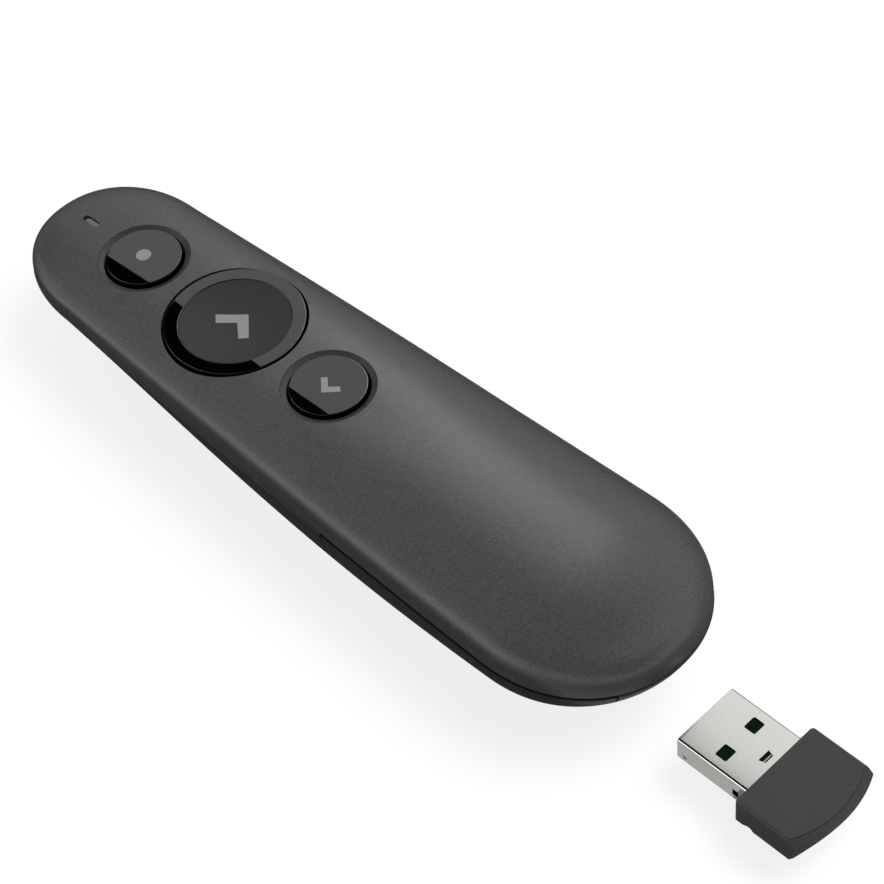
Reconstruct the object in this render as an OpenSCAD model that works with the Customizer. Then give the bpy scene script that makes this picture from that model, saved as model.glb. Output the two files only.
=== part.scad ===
// Wireless presentation clicker: a hand-held remote with three buttons, a laser in its nose,
// two AAA cells under a sliding door and a USB receiver that docks in its tail.
// Frame: +Y to the nose, +Z up, origin on the rest plane under the middle of the housing.

/* [Housing plan] */
// Length of the housing from tail to nose
body_l = 136.3; // [126:0.1:150]
// Width at the tail station, the widest place
tail_w = 37.4; // [36.4:0.1:40]
// Width at the middle of the housing
waist_w = 34.2; // [33.5:0.1:38]
// Width at the nose station
nose_w = 29.1; // [28:0.1:33]
// Length of the rounded tail end
tail_cap = 21.2; // [17:0.1:26]
// Length of the rounded nose end
nose_cap = 17.8; // [14:0.1:19]

/* [Housing profile] */
// How far the deck falls from the middle to the nose station
deck_fall = 1.6; // [1.2:0.1:1.8]
// Height of the seam between the shells above the bay's ceiling, at the middle
seam_over = 1.65; // [1.3:0.05:2.2]
// Height of the deck above the seam at the middle
crown_h = 6.8; // [6.6:0.1:8]
// How far the seam climbs from the middle to either station
seam_rise = 0.65; // [0.3:0.05:1.2]
// Height of the keel curve at the tail station
keel_tail = 3.2; // [2.6:0.1:3.8]
// Height of the keel curve at the middle, under the rest plane so that the flat cuts it
keel_mid = -2.1; // [-3:0.1:-1.4]
// Height of the keel curve at the nose station
keel_nose = 16.9; // [15.5:0.1:17.5]
// Least depth of the lower shell under the seam at the nose
nose_depth = 6.9; // [6.5:0.1:8]

/* [Shells] */
// Wall of the upper shell
top_wall = 1.6; // [1.2:0.1:1.8]
// Wall of the lower shell
low_wall = 1.6; // [1.2:0.1:1.8]
// Wall of the battery door
door_wall = 1.5; // [1.1:0.1:1.7]
// Clearance between pieces that close on each other
fit_gap = 0.2; // [0.1:0.05:0.3]
// Depth of the alignment lip under the seam
lip_h = 1.2; // [0.8:0.1:1.6]
// Thickness of the alignment lip
lip_t = 0.8; // [0.6:0.1:1]

/* [Buttons] */
// Distance of the laser button behind the nose's tip
laser_back = 21.45; // [21.25:0.05:22.2]
// Distance of the next button behind the nose's tip
next_back = 43.25; // [42.9:0.05:43.6]
// Distance of the back button behind the nose's tip
back_back = 64.65; // [64.3:0.05:65.4]
// Radius of the two small button caps
small_r = 6.15; // [5.6:0.05:6.2]
// Radius of the large button
next_r = 11.3; // [10.8:0.05:11.4]
// Radius of the concave dish in the large button
dish_r = 9.0; // [8:0.05:9.4]
// Sag of the concave dish
dish_sag = 0.8; // [0.4:0.05:0.85]
// Gap between a cap and its hole
cap_gap = 0.42; // [0.3:0.02:0.5]
// Width of the countersink round a small button
sink_w = 1.05; // [0.8:0.05:1.1]
// Depth of the countersink round a small button
sink_h = 0.45; // [0.3:0.05:0.6]
// How far a cap stands above the deck
proud = 0.25; // [0.1:0.05:0.4]
// Travel of a button
travel = 0.5; // [0.3:0.05:0.6]
// Height of a cap from its top to its underside
cap_h = 1.6; // [1.4:0.05:1.8]

/* [Circuit board] */
// Thickness of the main board
board_t = 1.0; // [0.8:0.1:1.2]
// Height of the board's upper face above the seam at the middle
board_up = 0.8; // [0.6:0.05:0.9]
// Width of the main board
board_w = 23.0; // [22.6:0.1:23.4]
// Side of a tactile switch
switch_w = 4.6; // [4:0.1:5.2]
// Height of a tactile switch without its stem
switch_h = 1.9; // [1.7:0.05:2]
// Radius of a switch stem
stem_r = 1.05; // [0.8:0.05:1.3]

/* [Battery bay] */
// Diameter of a AAA cell
cell_d = 10.5; // [10.3:0.05:10.5]
// Length of a AAA cell with its positive nub
cell_l = 44.5; // [43.8:0.1:44.5]
// Height of the cells' axes above the rest plane
cell_z = 10.5; // [10.3:0.05:10.7]
// Length that each contact spring fills
spring_l = 2.9; // [2.4:0.1:3.2]
// Thickness of the contact plates
plate_t = 0.3; // [0.2:0.05:0.4]
// Wall of the battery bay
bay_wall = 1.2; // [1:0.1:1.3]
// Place of the bay's front inner face
bay_front = 11.4; // [11:0.1:11.6]
// Place where the door begins along the seam
door_front = -12; // [-14:0.5:-9]
// Half width of the door's tongue under the cells
tongue_w = 12.2; // [12:0.1:12.6]
// How far the door slides back to release its hooks
door_slide = 6; // [5.6:0.1:7]

/* [Laser] */
// How far the laser's axis lies under the middle of the seam
laser_drop = 0.3; // [0.2:0.05:0.5]
// Outer radius of the laser barrel
barrel_r = 2.5; // [2.2:0.05:2.6]
// Length of the laser barrel
barrel_l = 9.6; // [8.6:0.1:9.8]
// Distance of the barrel's rear end behind the nose's tip
barrel_back = 15.05; // [14.85:0.05:15.1]

/* [Receiver] */
// Width of the USB plug
plug_w = 12.0; // [11.9:0.05:12.1]
// Height of the USB plug
plug_h = 4.5; // [4.4:0.05:4.6]
// Length of plug outside the cap
plug_l = 12.8; // [12.4:0.1:13]
// Wall of the plug's steel sleeve
sleeve_t = 0.3; // [0.25:0.05:0.35]
// Width of the receiver's cap
cap_w = 17.0; // [16.4:0.1:17.3]
// Thickness of the receiver's cap
cap_t = 5.8; // [5.75:0.05:6.1]
// Length of the cap's straight sides
cap_side = 11.2; // [10.6:0.1:11.5]
// Length of the cap at its middle
cap_mid = 13.1; // [12.7:0.1:13.4]
// Height of the cap's underside above the rest plane
cap_z = 5.9; // [5.8:0.05:6.1]
// Depth of the cap below the plug's underside
cap_under = 1.0; // [0.8:0.05:1.1]
// How far the receiver stands pulled out of its bay
pulled = 34.2; // [30:0.1:36]
// Clearance round the receiver in its bay
dock_gap = 0.35; // [0.3:0.05:0.4]

/* [Hidden] */
$fn = 48;

// Stations of the plan and profile curves lie this far from the middle
station = 50;
// Exponents of the rounded ends, of the crown over the seam and of the hull under it
tail_exp = 2.14;
nose_exp = 2.14;
crown_exp = 3.4;
hull_exp = 1.715;
// The crown is flat over the buttons and arched over the tail: between these two places the
// exponent across it falls from crown_exp to arch_exp
arch_exp = 2.3;
arch_from = -25;
arch_to = 12;
// Softness of the blend from the keel curve to the nose's least depth
blend = 3;
// Points along each side of a ring, and rings from the seam to the ridge or keel
side_n = 26;
ring_n = 9;
// Angle of the last ring, short of the ridge
ridge_angle = 84;
// A cut runs this far past what it cuts
past = 1;
big = 200;

// Ceiling of the battery bay, which carries the heights of the seam, the board and the deck
ceiling_z = cell_z + cell_d / 2 + 0.2;
ceiling_t = 0.8;
seam_mid = ceiling_z + ceiling_t + seam_over;
deck_mid = seam_mid + crown_h;
board_depth = crown_h - board_up;
deck_tilt = atan(deck_fall / station);

// Value at y of the parabola through a, b and c at the tail station, middle and nose station
function through(a, b, c, y) = let (s = y / station)
    a * s * (s - 1) / 2 + b * (1 - s * s) + c * s * (s + 1) / 2;
function flank(y) = through(tail_w, waist_w, nose_w, y) / 2;
function deck_z(y) = deck_mid - deck_fall * y / station;
function seam_z(y) = seam_mid + seam_rise * pow(y / station, 2);
function keel_d(y) = seam_z(y) - through(keel_tail, keel_mid, keel_nose, y);
function hull_d(y) = let (d = keel_d(y))
    (d + nose_depth + sqrt(pow(d - nose_depth, 2) + blend * blend)) / 2;

// Foot on the spine of an outline point, and the outline's half width there, inset by d
function foot(y) = max(tail_cap - body_l / 2, min(body_l / 2 - nose_cap, y));
// Exponent across the crown at y
function across(y) = let (u = max(0, min(1, (y - arch_from) / (arch_to - arch_from))))
    arch_exp + (crown_exp - arch_exp) * u * u * (3 - 2 * u);
function round_end(u, e) = pow(max(0, 1 - pow(u, e)), 1 / e);
function half_w(y, d) = let (f = foot(y)) (flank(f) - d)
    * (y < f ? round_end((f - y) / (tail_cap - d), tail_exp)
             : round_end((y - f) / (nose_cap - d), nose_exp));

// One point of a ring: j counts round the outline, in shrinks it to the spine
function along(j, d) = (d - body_l / 2) * cos(180 * (j <= side_n ? j : 2 * side_n - j) / side_n);
function ring_xy(j, in, d) = let (y = along(j, d), f = foot(y))
    [(j <= side_n ? 1 : -1) * half_w(y, d) * in, f + (y - f) * in];
function level(k) = ridge_angle * k / ring_n;
function in_at(k, e) = pow(cos(level(k)), 2 / e);
function out_at(k, e) = pow(sin(level(k)), 2 / e);

// Rings of points from a base ring, shift away from the seam, to the ridge or keel
function crown_rings(d, shift) = concat(
    [for (j = [0 : 2 * side_n - 1]) let (p = ring_xy(j, 1, d)) [p[0], p[1], seam_z(p[1]) - shift]],
    [for (k = [0 : ring_n], j = [0 : 2 * side_n - 1])
        let (p = ring_xy(j, in_at(k, across(foot(along(j, d)))), d), s = seam_z(p[1]))
        [p[0], p[1], s + (deck_z(p[1]) - s - d) * out_at(k, crown_exp)]]);
function hull_rings(d, shift) = concat(
    [for (j = [0 : 2 * side_n - 1]) let (p = ring_xy(j, 1, d)) [p[0], p[1], seam_z(p[1]) + shift]],
    [for (k = [0 : ring_n], j = [0 : 2 * side_n - 1])
        let (p = ring_xy(j, in_at(k, hull_exp), d))
        [p[0], p[1], seam_z(p[1]) - (hull_d(p[1]) - d) * out_at(k, hull_exp)]]);

// Faces that join the rings and close the first and last with strips across
function flip(face) = [for (i = [len(face) - 1 : -1 : 0]) face[i]];
function lid_faces(base) = concat([[base, base + 1, base + 2 * side_n - 1]],
    [for (i = [1 : side_n - 2])
        [base + i, base + i + 1, base + 2 * side_n - i - 1, base + 2 * side_n - i]],
    [[base + side_n - 1, base + side_n, base + side_n + 1]]);
function wall_faces(first, last) = [for (k = [first : last - 1], j = [0 : 2 * side_n - 1])
    let (n = 2 * side_n, a = k * n + j, b = k * n + (j + 1) % n)
    for (t = [[a, b, b + n], [a, b + n, a + n]]) t];
function shell_faces(first) = concat(lid_faces(first * 2 * side_n),
    [for (f = lid_faces((ring_n + 1) * 2 * side_n)) flip(f)],
    [for (f = wall_faces(first, ring_n + 1)) flip(f)]);

// Solid between the seam and the crown, inset by d, its base shift under the seam
module crown(d, shift = 0) {
    polyhedron(crown_rings(d, shift), shell_faces(shift == 0 ? 1 : 0), convexity = 4);
}

// Solid between the seam and the keel, inset by d and cut by the flat, its lid shift over the seam
module hull_body(d, shift = 0) {
    intersection() {
        polyhedron(hull_rings(d, shift),
            [for (f = shell_faces(shift == 0 ? 1 : 0)) flip(f)], convexity = 4);
        translate([-big / 2, -big / 2, d]) cube(big);
    }
}

// Children placed in the deck's own frame: z = 0 is the deck, y runs along it
module on_deck(y = 0) {
    translate([0, 0, deck_mid]) rotate([-deck_tilt, 0, 0]) translate([0, y, 0]) children();
}

module mirrored() {
    children();
    mirror([1, 0, 0]) children();
}

// A box centred in x between two places in y and two heights
module slab(w, y0, y1, z0, z1) {
    translate([-w / 2, y0, z0]) cube([w, y1 - y0, z1 - z0]);
}

// A box between two places on each axis
module span(x0, x1, y0, y1, z0, z1) {
    translate([x0, y0, z0]) cube([x1 - x0, y1 - y0, z1 - z0]);
}

// A cylinder along +Y from y0 to y1
module rod_y(r, y0, y1) {
    translate([0, y0, 0]) rotate([-90, 0, 0]) cylinder(r = r, h = y1 - y0);
}

// Flat plate with round corners
module round_plate(w, l, r, h) {
    linear_extrude(h) {
        square([w - 2 * r, l], center = true);
        square([w, l - 2 * r], center = true);
        for (x = [-1, 1], y = [-1, 1]) translate([x * (w / 2 - r), y * (l / 2 - r)]) circle(r);
    }
}

/* Places along the nose half, all carried by the nose's tip */
tip_y = body_l / 2;
laser_y = tip_y - laser_back;
next_y = tip_y - next_back;
back_y = tip_y - back_back;
barrel_y = tip_y - barrel_back;
laser_z = seam_mid - laser_drop;

/* Buttons and what they press */
hole_small = small_r + cap_gap;
hole_next = next_r + cap_gap;
tab_top = -top_wall - 0.3;
tab_h = 0.6;
tab_reach = 1.0;
skirt_w = 0.9;
tab_len = 4.4;
stem_top = switch_h - board_depth + 0.7;
plunger_r = 1.5;
edge_r = 0.35;
dish_seat = 0.05;
dish_t = 0.7;
web_t = 0.7;
rim_drop = 0.12;
dish_floor = proud - rim_drop - dish_sag - dish_t;

// Places of the four posts that carry the board, across the deck and ahead of the next button
post_at = [[8.8, 13.4], [9.4, -12.5]];
post_r = 2.0;
screw_r = 0.75;
pilot_gap = 0.05;
screw_head_r = 1.5;
screw_head_h = 0.7;
screw_len = 3.6;

/* Battery bay */
cell_x = cell_d / 2 + 0.15;
bay_l = cell_l + spring_l + 2 * plate_t;
bay_back = bay_front - bay_l;
bay_in = cell_x + cell_d / 2 + 0.3;
nub_r = 1.9;
nub_h = 1.2;
tongue_front = bay_front + bay_wall;

/* Tail: the block that holds the receiver */
block_w = cap_w + 3.0;
block_z = cap_z - 0.5;
plug_z = cap_z + cap_under;
dock_tip = bay_back - bay_wall - 0.6;
rest_tip = dock_tip - pulled;
dock_front = dock_tip - plug_l;

/* Housing screws beside the block */
ear_x = block_w / 2 + 2.2;
ear_y = dock_tip - 4.2;
ear_z = 14.7;
ear_t = 1.5;
ear_r = 2.2;
house_r = 1.0;
house_head_r = 1.9;
house_head_h = 1.2;
house_len = 6.0;

/* Door hooks and the ledges they ride over, and the ribs under the cells */
run_gap = 0.3;
rib_y = [-26, -3];
hook_y = [-31, -18];
hook_l = 5;
hook_t = 1.0;
ledge_z = 11.8;
ledge_t = 1.2;
ledge_reach = 1.9;

/* Nose */
window_r = 2.6;
window_t = 1.0;
window_y = tip_y - 3.55;
led_y = tip_y - 8.45;
led_l = 3.0;
led_w = 1.0;
pipe_z = laser_z + barrel_r + 0.2;
pipe_t = 0.7;
led_at = [4.5, barrel_y + 2.3];
cradle_y = [barrel_y + 1.6, barrel_y + barrel_l - 2.6];
notch_w = 6.2;

module led_slot(grow) {
    translate([0, led_y, pipe_z]) {
        for (s = [-1, 1]) translate([0, s * (led_l - led_w) / 2, 0])
            cylinder(r = led_w / 2 + grow, h = deck_z(led_y) - pipe_z + past, $fn = 24);
        slab(led_w + 2 * grow, (led_w - led_l) / 2, (led_l - led_w) / 2, 0,
            deck_z(led_y) - pipe_z + past);
    }
}

// The bore through the nose for the laser beam, with a seat for the window
module nose_bore() {
    translate([0, 0, laser_z]) {
        rod_y(window_r + 0.05, window_y, body_l / 2 + past);
        rod_y(barrel_r * 0.7, window_y - 4, body_l / 2);
    }
}

// A rib that holds the laser barrel at y, between two heights
module cradle(y, z0, z1) {
    slab(notch_w - 0.5, y, y + bay_wall, z0, z1);
}

// The laser barrel's seat in both shells
module barrel_seat() {
    translate([0, 0, laser_z]) rod_y(barrel_r + 0.05, barrel_y, barrel_y + barrel_l + 0.1);
}

module top_shell() {
    color([0.30, 0.30, 0.31]) {
        difference() {
            union() {
                difference() {
                    crown(0);
                    crown(top_wall, past);
                }
                // alignment lip inside the lower shell, from the door to the nose
                intersection() {
                    difference() {
                        union() {
                            crown(low_wall + fit_gap, lip_h);
                            crown(top_wall / 2);
                        }
                        crown(low_wall + fit_gap + lip_t, lip_h + past);
                    }
                    union() {
                        hull_body(low_wall + fit_gap, past);
                        crown(0);
                    }
                    slab(big, door_front + 3, window_y - 12, 0, seam_mid + 1.6);
                }
                // posts for the board, housing bosses and the barrel's upper ribs
                intersection() {
                    crown(top_wall / 2, big / 10);
                    union() {
                        on_deck(next_y) mirrored() for (p = post_at)
                            translate([p[0], p[1], -board_depth])
                                cylinder(r = post_r, h = board_depth);
                        mirrored() translate([ear_x, ear_y, ear_z + ear_t])
                            cylinder(r = ear_r, h = deck_mid);
                        difference() {
                            cradle(cradle_y[1], laser_z + 0.4, deck_mid);
                            slab(led_w + 0.8, led_at[1], body_l / 2, pipe_z - 0.1, deck_mid);
                        }
                    }
                }
            }
            on_deck(laser_y) small_hole();
            on_deck(back_y) small_hole();
            on_deck(next_y) translate([0, 0, -board_depth]) cylinder(r = hole_next, h = big / 10);
            on_deck(next_y) mirrored() for (p = post_at)
                translate([p[0], p[1], -board_depth - past])
                    cylinder(r = screw_r + pilot_gap, h = screw_len + past, $fn = 24);
            mirrored() translate([ear_x, ear_y, ear_z])
                cylinder(r = house_r + pilot_gap, h = ear_t + house_len, $fn = 24);
            led_slot(0.05);
            barrel_seat();
            nose_bore();
        }
    }
}

module small_hole() {
    translate([0, 0, -board_depth / 2]) cylinder(r = hole_small, h = big / 10);
    translate([0, 0, -sink_h])
        cylinder(r1 = hole_small, r2 = hole_small + sink_w + sink_w / sink_h,
            h = sink_h + 1);
}

// What the door takes from the lower shell, grown or shrunk by g
module door_zone(g) {
    slab(big, -big / 2, door_front + g, -past, big / 4);
    slab(2 * (tongue_w + g), -big / 2, tongue_front + g, -past, ledge_z);
}

// What the tail block takes from the door, with room ahead of it for the door's slide
module block_zone(g) {
    slab(block_w + 2 * g, -big / 2, bay_back + g + door_slide, block_z - g, big / 4);
}

module bottom_shell() {
    color([0.27, 0.27, 0.28]) {
        difference() {
            union() {
                difference() {
                    hull_body(0);
                    hull_body(low_wall, past);
                    door_zone(fit_gap / 2);
                }
                // battery bay, open underneath, joined to the hull by its wide front ceiling
                intersection() {
                    hull_body(low_wall / 2);
                    union() {
                        slab(2 * (bay_in + bay_wall), bay_back - bay_wall, tongue_front,
                            ceiling_z, ceiling_z + ceiling_t);
                        slab(tail_w, door_front + 1, tongue_front,
                            ceiling_z, ceiling_z + ceiling_t);
                        for (y = [door_front + 1, (door_front + tongue_front) / 2,
                                tongue_front - bay_wall])
                            mirrored() span(bay_in, tail_w / 2, y, y + bay_wall,
                                ledge_z, ceiling_z + ceiling_t);
                    }
                }
                intersection() {
                    door_room();
                    translate([0, -door_slide, 0]) door_room();
                    bay_walls();
                }
                // ledges that the door's hooks slide over
                mirrored() for (y = hook_y)
                    span(bay_in, bay_in + bay_wall + ledge_reach, y, y + hook_l,
                        ledge_z, ledge_z + ledge_t);
                tail_block();
                intersection() {
                    hull_body(low_wall / 2);
                    for (y = cradle_y) cradle(y, 0, laser_z - 0.4);
                }
            }
            barrel_seat();
            // slots for the contacts' tails
            for (x = [-cell_x, cell_x])
                translate([x, 0, 0])
                    slab(2.2, bay_back - 0.1, bay_back + plate_t + 0.1, ceiling_z - past, deck_mid);
            nose_bore();
        }
    }
}

// Room inside the door, less a running gap
module door_room() {
    hull_body(door_wall + run_gap);
}

module bay_walls() {
    foot_z = cell_z - cell_d / 2;
    mirrored() span(bay_in, bay_in + bay_wall, bay_back - bay_wall, tongue_front,
        ledge_z - 2, ceiling_z + ceiling_t);
    slab(2 * bay_in + past, bay_front, tongue_front, foot_z, ceiling_z + ceiling_t);
    slab(2 * bay_in + past, bay_back - bay_wall, bay_back, foot_z, ceiling_z + ceiling_t);
    // ridge between the cells
    slab(1.6, bay_back, bay_front, ceiling_z - 1.6, ceiling_z + ceiling_t);
}

// Block in the door's notch: its rear face lies in the hull's own surface
module tail_block() {
    difference() {
        union() {
            intersection() {
                hull_body(0);
                slab(block_w, -big / 2, bay_back - bay_wall / 2, block_z, big / 4);
            }
            mirrored() {
                translate([ear_x, ear_y, ear_z]) cylinder(r = ear_r, h = ear_t);
                span(block_w / 2 - past, ear_x, ear_y - ear_r, ear_y + ear_r,
                    ear_z, ear_z + ear_t);
            }
        }
        dock(dock_gap);
        // coring over the plug channel
        for (x = [-1, 1]) translate([x * block_w / 4, 0, 0])
            slab(block_w / 2 - 3, dock_front - 9, bay_back - 2 * bay_wall,
                plug_z + plug_h + dock_gap + bay_wall + 1, deck_mid);
        mirrored() translate([ear_x, ear_y, ear_z - past])
            cylinder(r = house_r + 0.2, h = ear_t + 2 * past, $fn = 24);
    }
}

// Room for the receiver: plug channel, then the cap's pocket, open underneath and behind
module dock(g) {
    slab(plug_w + 2 * g, dock_front - past, dock_tip + 0.6, plug_z - g, plug_z + plug_h + g);
    slab(cap_w + 2 * g, -big / 2, dock_front + g, 0, cap_z + cap_t + g);
}

module battery_door() {
    color([0.25, 0.25, 0.26]) {
        difference() {
            intersection() {
                difference() {
                    hull_body(0);
                    hull_body(door_wall, past);
                }
                door_zone(-fit_gap / 2);
            }
            block_zone(run_gap);
            crown(-past, run_gap);
            // finger ridges: grooves across the underside
            for (i = [0 : 5]) slab(11, -34 + 2 * i, -33 + 2 * i, -past, 0.4);
        }
        // ribs that bear the cells from below
        intersection() {
            hull_body(door_wall / 2);
            difference() {
                for (y = rib_y) slab(2 * (bay_in - 2 * run_gap), y, y + bay_wall, 0, cell_z - 2);
                for (x = [-cell_x, cell_x]) translate([x, 0, cell_z])
                    rod_y(cell_d / 2 + run_gap, bay_back, bay_front);
            }
        }
        // hooks that ride over the ledges and keep the door up
        intersection() {
            hull_body(door_wall / 2);
            mirrored() for (y = hook_y)
                span(bay_in + bay_wall + run_gap, tail_w / 2, y, y + hook_l,
                    ledge_z + ledge_t + fit_gap, ledge_z + ledge_t + fit_gap + hook_t);
        }
    }
}

module light_pipe() {
    color([0.85, 0.88, 0.90, 0.8]) {
        intersection() {
            led_slot(0);
            crown(0.25, big / 10);
        }
        slab(led_w + 0.6, led_at[1] - 0.8, led_y + led_w, pipe_z, pipe_z + pipe_t);
        span(0, led_at[0] + 0.8, led_at[1] - 0.8, led_at[1] + 0.8, pipe_z, pipe_z + pipe_t);
        span(led_at[0] - 0.8, led_at[0] + 0.8, led_at[1] - 0.8, led_at[1] + 0.8,
            deck_z(led_at[1]) - board_depth + 0.9, pipe_z + pipe_t);
    }
}

module status_led() {
    color([0.9, 0.9, 0.8]) on_deck()
        translate([led_at[0], led_at[1], -board_depth]) round_plate(1.6, 1.0, 0.2, 0.7);
}

module laser_window() {
    color([0.15, 0.02, 0.03, 0.7]) translate([0, 0, laser_z])
        rod_y(window_r, window_y, window_y + window_t);
}

bore_r = 1.7;
lens_t = 1.5;
can_r = 1.25;

module laser_barrel() {
    color([0.78, 0.62, 0.30]) translate([0, 0, laser_z]) difference() {
        rod_y(barrel_r, barrel_y, barrel_y + barrel_l);
        rod_y(bore_r, barrel_y - past, barrel_y + barrel_l + past);
    }
}

module laser_lens() {
    color([0.80, 0.88, 0.92, 0.7]) translate([0, 0, laser_z]) intersection() {
        rod_y(bore_r, barrel_y + barrel_l - 2.2, barrel_y + barrel_l - 2.2 + lens_t + past);
        translate([0, barrel_y + barrel_l - 2.2 + lens_t - 4, 0]) sphere(4);
    }
}

module laser_diode() {
    color([0.75, 0.75, 0.72]) translate([0, 0, laser_z]) {
        rod_y(bore_r, barrel_y, barrel_y + 1.0);
        rod_y(can_r, barrel_y + 1.0, barrel_y + 3.0);
        for (x = [-0.8, 0, 0.8]) translate([x, 0, x == 0 ? 0.6 : 0])
            rod_y(0.2, barrel_y - 2.6, barrel_y);
    }
}

// How far the board runs behind the back button and past the barrel's rear end
board_behind = 8.5;
board_ahead = 3.9;
board_back = back_y - board_behind;
board_front = barrel_y + board_ahead;
board_r = 3;
// The board narrows by neck_in beside the laser, over this length
neck_l = 8;
neck_in = 6.4;
neck_w = board_w - neck_in;

module main_board() {
    color([0.05, 0.25, 0.12]) on_deck() difference() {
        translate([0, 0, -board_depth - board_t]) {
            translate([0, (board_back + board_front - neck_l) / 2, 0])
                round_plate(board_w, board_front - neck_l - board_back, board_r, board_t);
            translate([0, board_front - neck_l, 0])
                round_plate(neck_w, 2 * neck_l, board_r * 0.7, board_t);
        }
        slab(notch_w, barrel_y - 0.8, board_front + past, -board_depth - board_t - past, 0);
        mirrored() for (p = post_at) translate([p[0], next_y + p[1], -board_depth - board_t - past])
            cylinder(r = screw_r + 0.2, h = board_t + 2 * past, $fn = 24);
    }
}

module switch_bases() {
    color([0.12, 0.12, 0.13]) for (y = [laser_y, next_y, back_y]) on_deck(y) difference() {
        translate([0, 0, -board_depth]) round_plate(switch_w, switch_w, 0.4, switch_h);
        translate([0, 0, stem_top - 0.7 - travel - 0.3])
            cylinder(r = stem_r + 0.1, h = board_depth);
    }
}

module switch_stem(y) {
    color([0.75, 0.73, 0.68]) on_deck(y) translate([0, 0, stem_top - 0.7 - 0.25])
        cylinder(r = stem_r, h = 0.95);
}

module laser_switch_stem() { switch_stem(laser_y); }
module next_switch_stem() { switch_stem(next_y); }
module back_switch_stem() { switch_stem(back_y); }

// A turned cap: its rim is rounded by a quarter circle
module turned(r, top, bottom) {
    rotate_extrude() polygon(concat([[0, bottom], [r, bottom]],
        [for (i = [0 : 4]) let (a = 90 * i / 4)
            [r - edge_r + edge_r * cos(a), top - edge_r + edge_r * sin(a)]],
        [[0, top]]));
}

// Two tabs under the deck that keep a cap of radius r in its hole
module tabs(r) {
    intersection() {
        translate([0, 0, tab_top - tab_h]) difference() {
            cylinder(r = r + tab_reach, h = tab_h);
            translate([0, 0, -past]) cylinder(r = r - skirt_w, h = tab_h + 2 * past);
        }
        slab(big, -tab_len / 2, tab_len / 2, tab_top - tab_h - past, 0);
    }
}

module skirt(r, top) {
    translate([0, 0, tab_top - tab_h]) difference() {
        cylinder(r = r, h = top - tab_top + tab_h);
        translate([0, 0, -past]) cylinder(r = r - skirt_w, h = top - tab_top + tab_h + 2 * past);
    }
}

module small_button(y) {
    color([0.05, 0.05, 0.055]) on_deck(y) {
        turned(small_r, proud, proud - cap_h);
        skirt(small_r, proud - cap_h + 0.2);
        tabs(small_r);
        translate([0, 0, stem_top]) cylinder(r = plunger_r, h = proud - cap_h - stem_top + 0.2);
    }
}

module laser_button() { small_button(laser_y); }
module back_button() { small_button(back_y); }

module next_button_ring() {
    color([0.05, 0.05, 0.055]) on_deck(next_y) {
        difference() {
            turned(next_r, proud, proud - cap_h);
            translate([0, 0, dish_floor]) cylinder(r = dish_r + dish_seat, h = big / 10);
        }
        translate([0, 0, dish_floor - web_t]) cylinder(r = next_r - skirt_w / 2, h = web_t);
        skirt(next_r, proud - cap_h + 0.2);
        rotate([0, 0, 90]) tabs(next_r);
        translate([0, 0, stem_top])
            cylinder(r = plunger_r + 0.5, h = dish_floor - web_t / 2 - stem_top);
    }
}

// Height of the dish's face above its middle at radius r
function dish_rise(r) = dish_sag * pow(r / dish_r, 2);

module next_button_dish() {
    color([0.16, 0.16, 0.17]) on_deck(next_y) translate([0, 0, dish_floor])
        rotate_extrude() polygon(concat([[0, 0], [dish_r, 0]],
            [for (i = [8 : -1 : 0]) [dish_r * i / 8, dish_t + dish_rise(dish_r * i / 8)]]));
}

// Parts soldered to the board: place across it and ahead of the next button, then size
radio_at = [-6.2, 6.6];
radio_size = [4, 4, 0.85];
memory_at = [6.0, -7.4];
memory_size = [3.9, 4.9, 1.4];
crystal_at = [6.4, 6.1];
crystal_size = [2.5, 3.2, 0.8];
capacitor_at = [[-6.2, 1.6], [-8.2, 1.6], [-6.5, -5.9], [9, 1.1], [-5, 17.1], [5.6, 17.1]];
capacitor_size = [0.9, 1.7, 0.8];
pack_r = 0.2;

module on_board(at, size) {
    on_deck(next_y) translate([at[0], at[1], -board_depth])
        round_plate(size[0], size[1], pack_r, size[2]);
}

module radio_chip() { color([0.08, 0.08, 0.09]) on_board(radio_at, radio_size); }
module memory_chip() { color([0.08, 0.08, 0.09]) on_board(memory_at, memory_size); }
module crystal() { color([0.8, 0.8, 0.78]) on_board(crystal_at, crystal_size); }
module capacitors() {
    color([0.62, 0.48, 0.32]) for (at = capacitor_at) on_board(at, capacitor_size);
}

// One AAA cell at x, its nub's face at y and its body on the side away from dir
module cell(x, y, dir) {
    translate([x, y, cell_z]) rotate([90 * dir, 0, 0]) {
        cylinder(r = nub_r, h = nub_h);
        translate([0, 0, nub_h]) cylinder(r = cell_d / 2, h = cell_l - nub_h);
    }
}

module battery_left() { color([0.10, 0.30, 0.55]) cell(-cell_x, bay_front - plate_t, 1); }
module battery_right() { color([0.10, 0.30, 0.55]) cell(cell_x, bay_back + plate_t, -1); }

plate_w = 8.4;
plate_h = 7.0;

module contact_plate(x, y) {
    translate([x, 0, 0]) slab(plate_w, y, y + plate_t, cell_z - plate_h / 2, cell_z + plate_h / 2);
}

module bridge_contact() {
    color([0.80, 0.80, 0.78]) slab(2 * cell_x + plate_w, bay_front - plate_t, bay_front,
        cell_z - plate_h / 2, cell_z + plate_h / 2);
}

lead_r = 0.5;
lead_end = board_back + 1.6;
lead_z = deck_z(lead_end) - board_depth - board_t - lead_r - 0.03;

module terminal_contacts() {
    color([0.80, 0.80, 0.78]) for (x = [-cell_x, cell_x]) {
        contact_plate(x, bay_back);
        translate([x, 0, 0]) slab(2, bay_back, bay_back + plate_t, cell_z, lead_z + lead_r);
    }
}

wire_r = 0.28;
spring_r = [3.4, 1.8];
turns = 3.5;
per_turn = 14;
wire_n = 6;

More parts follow.
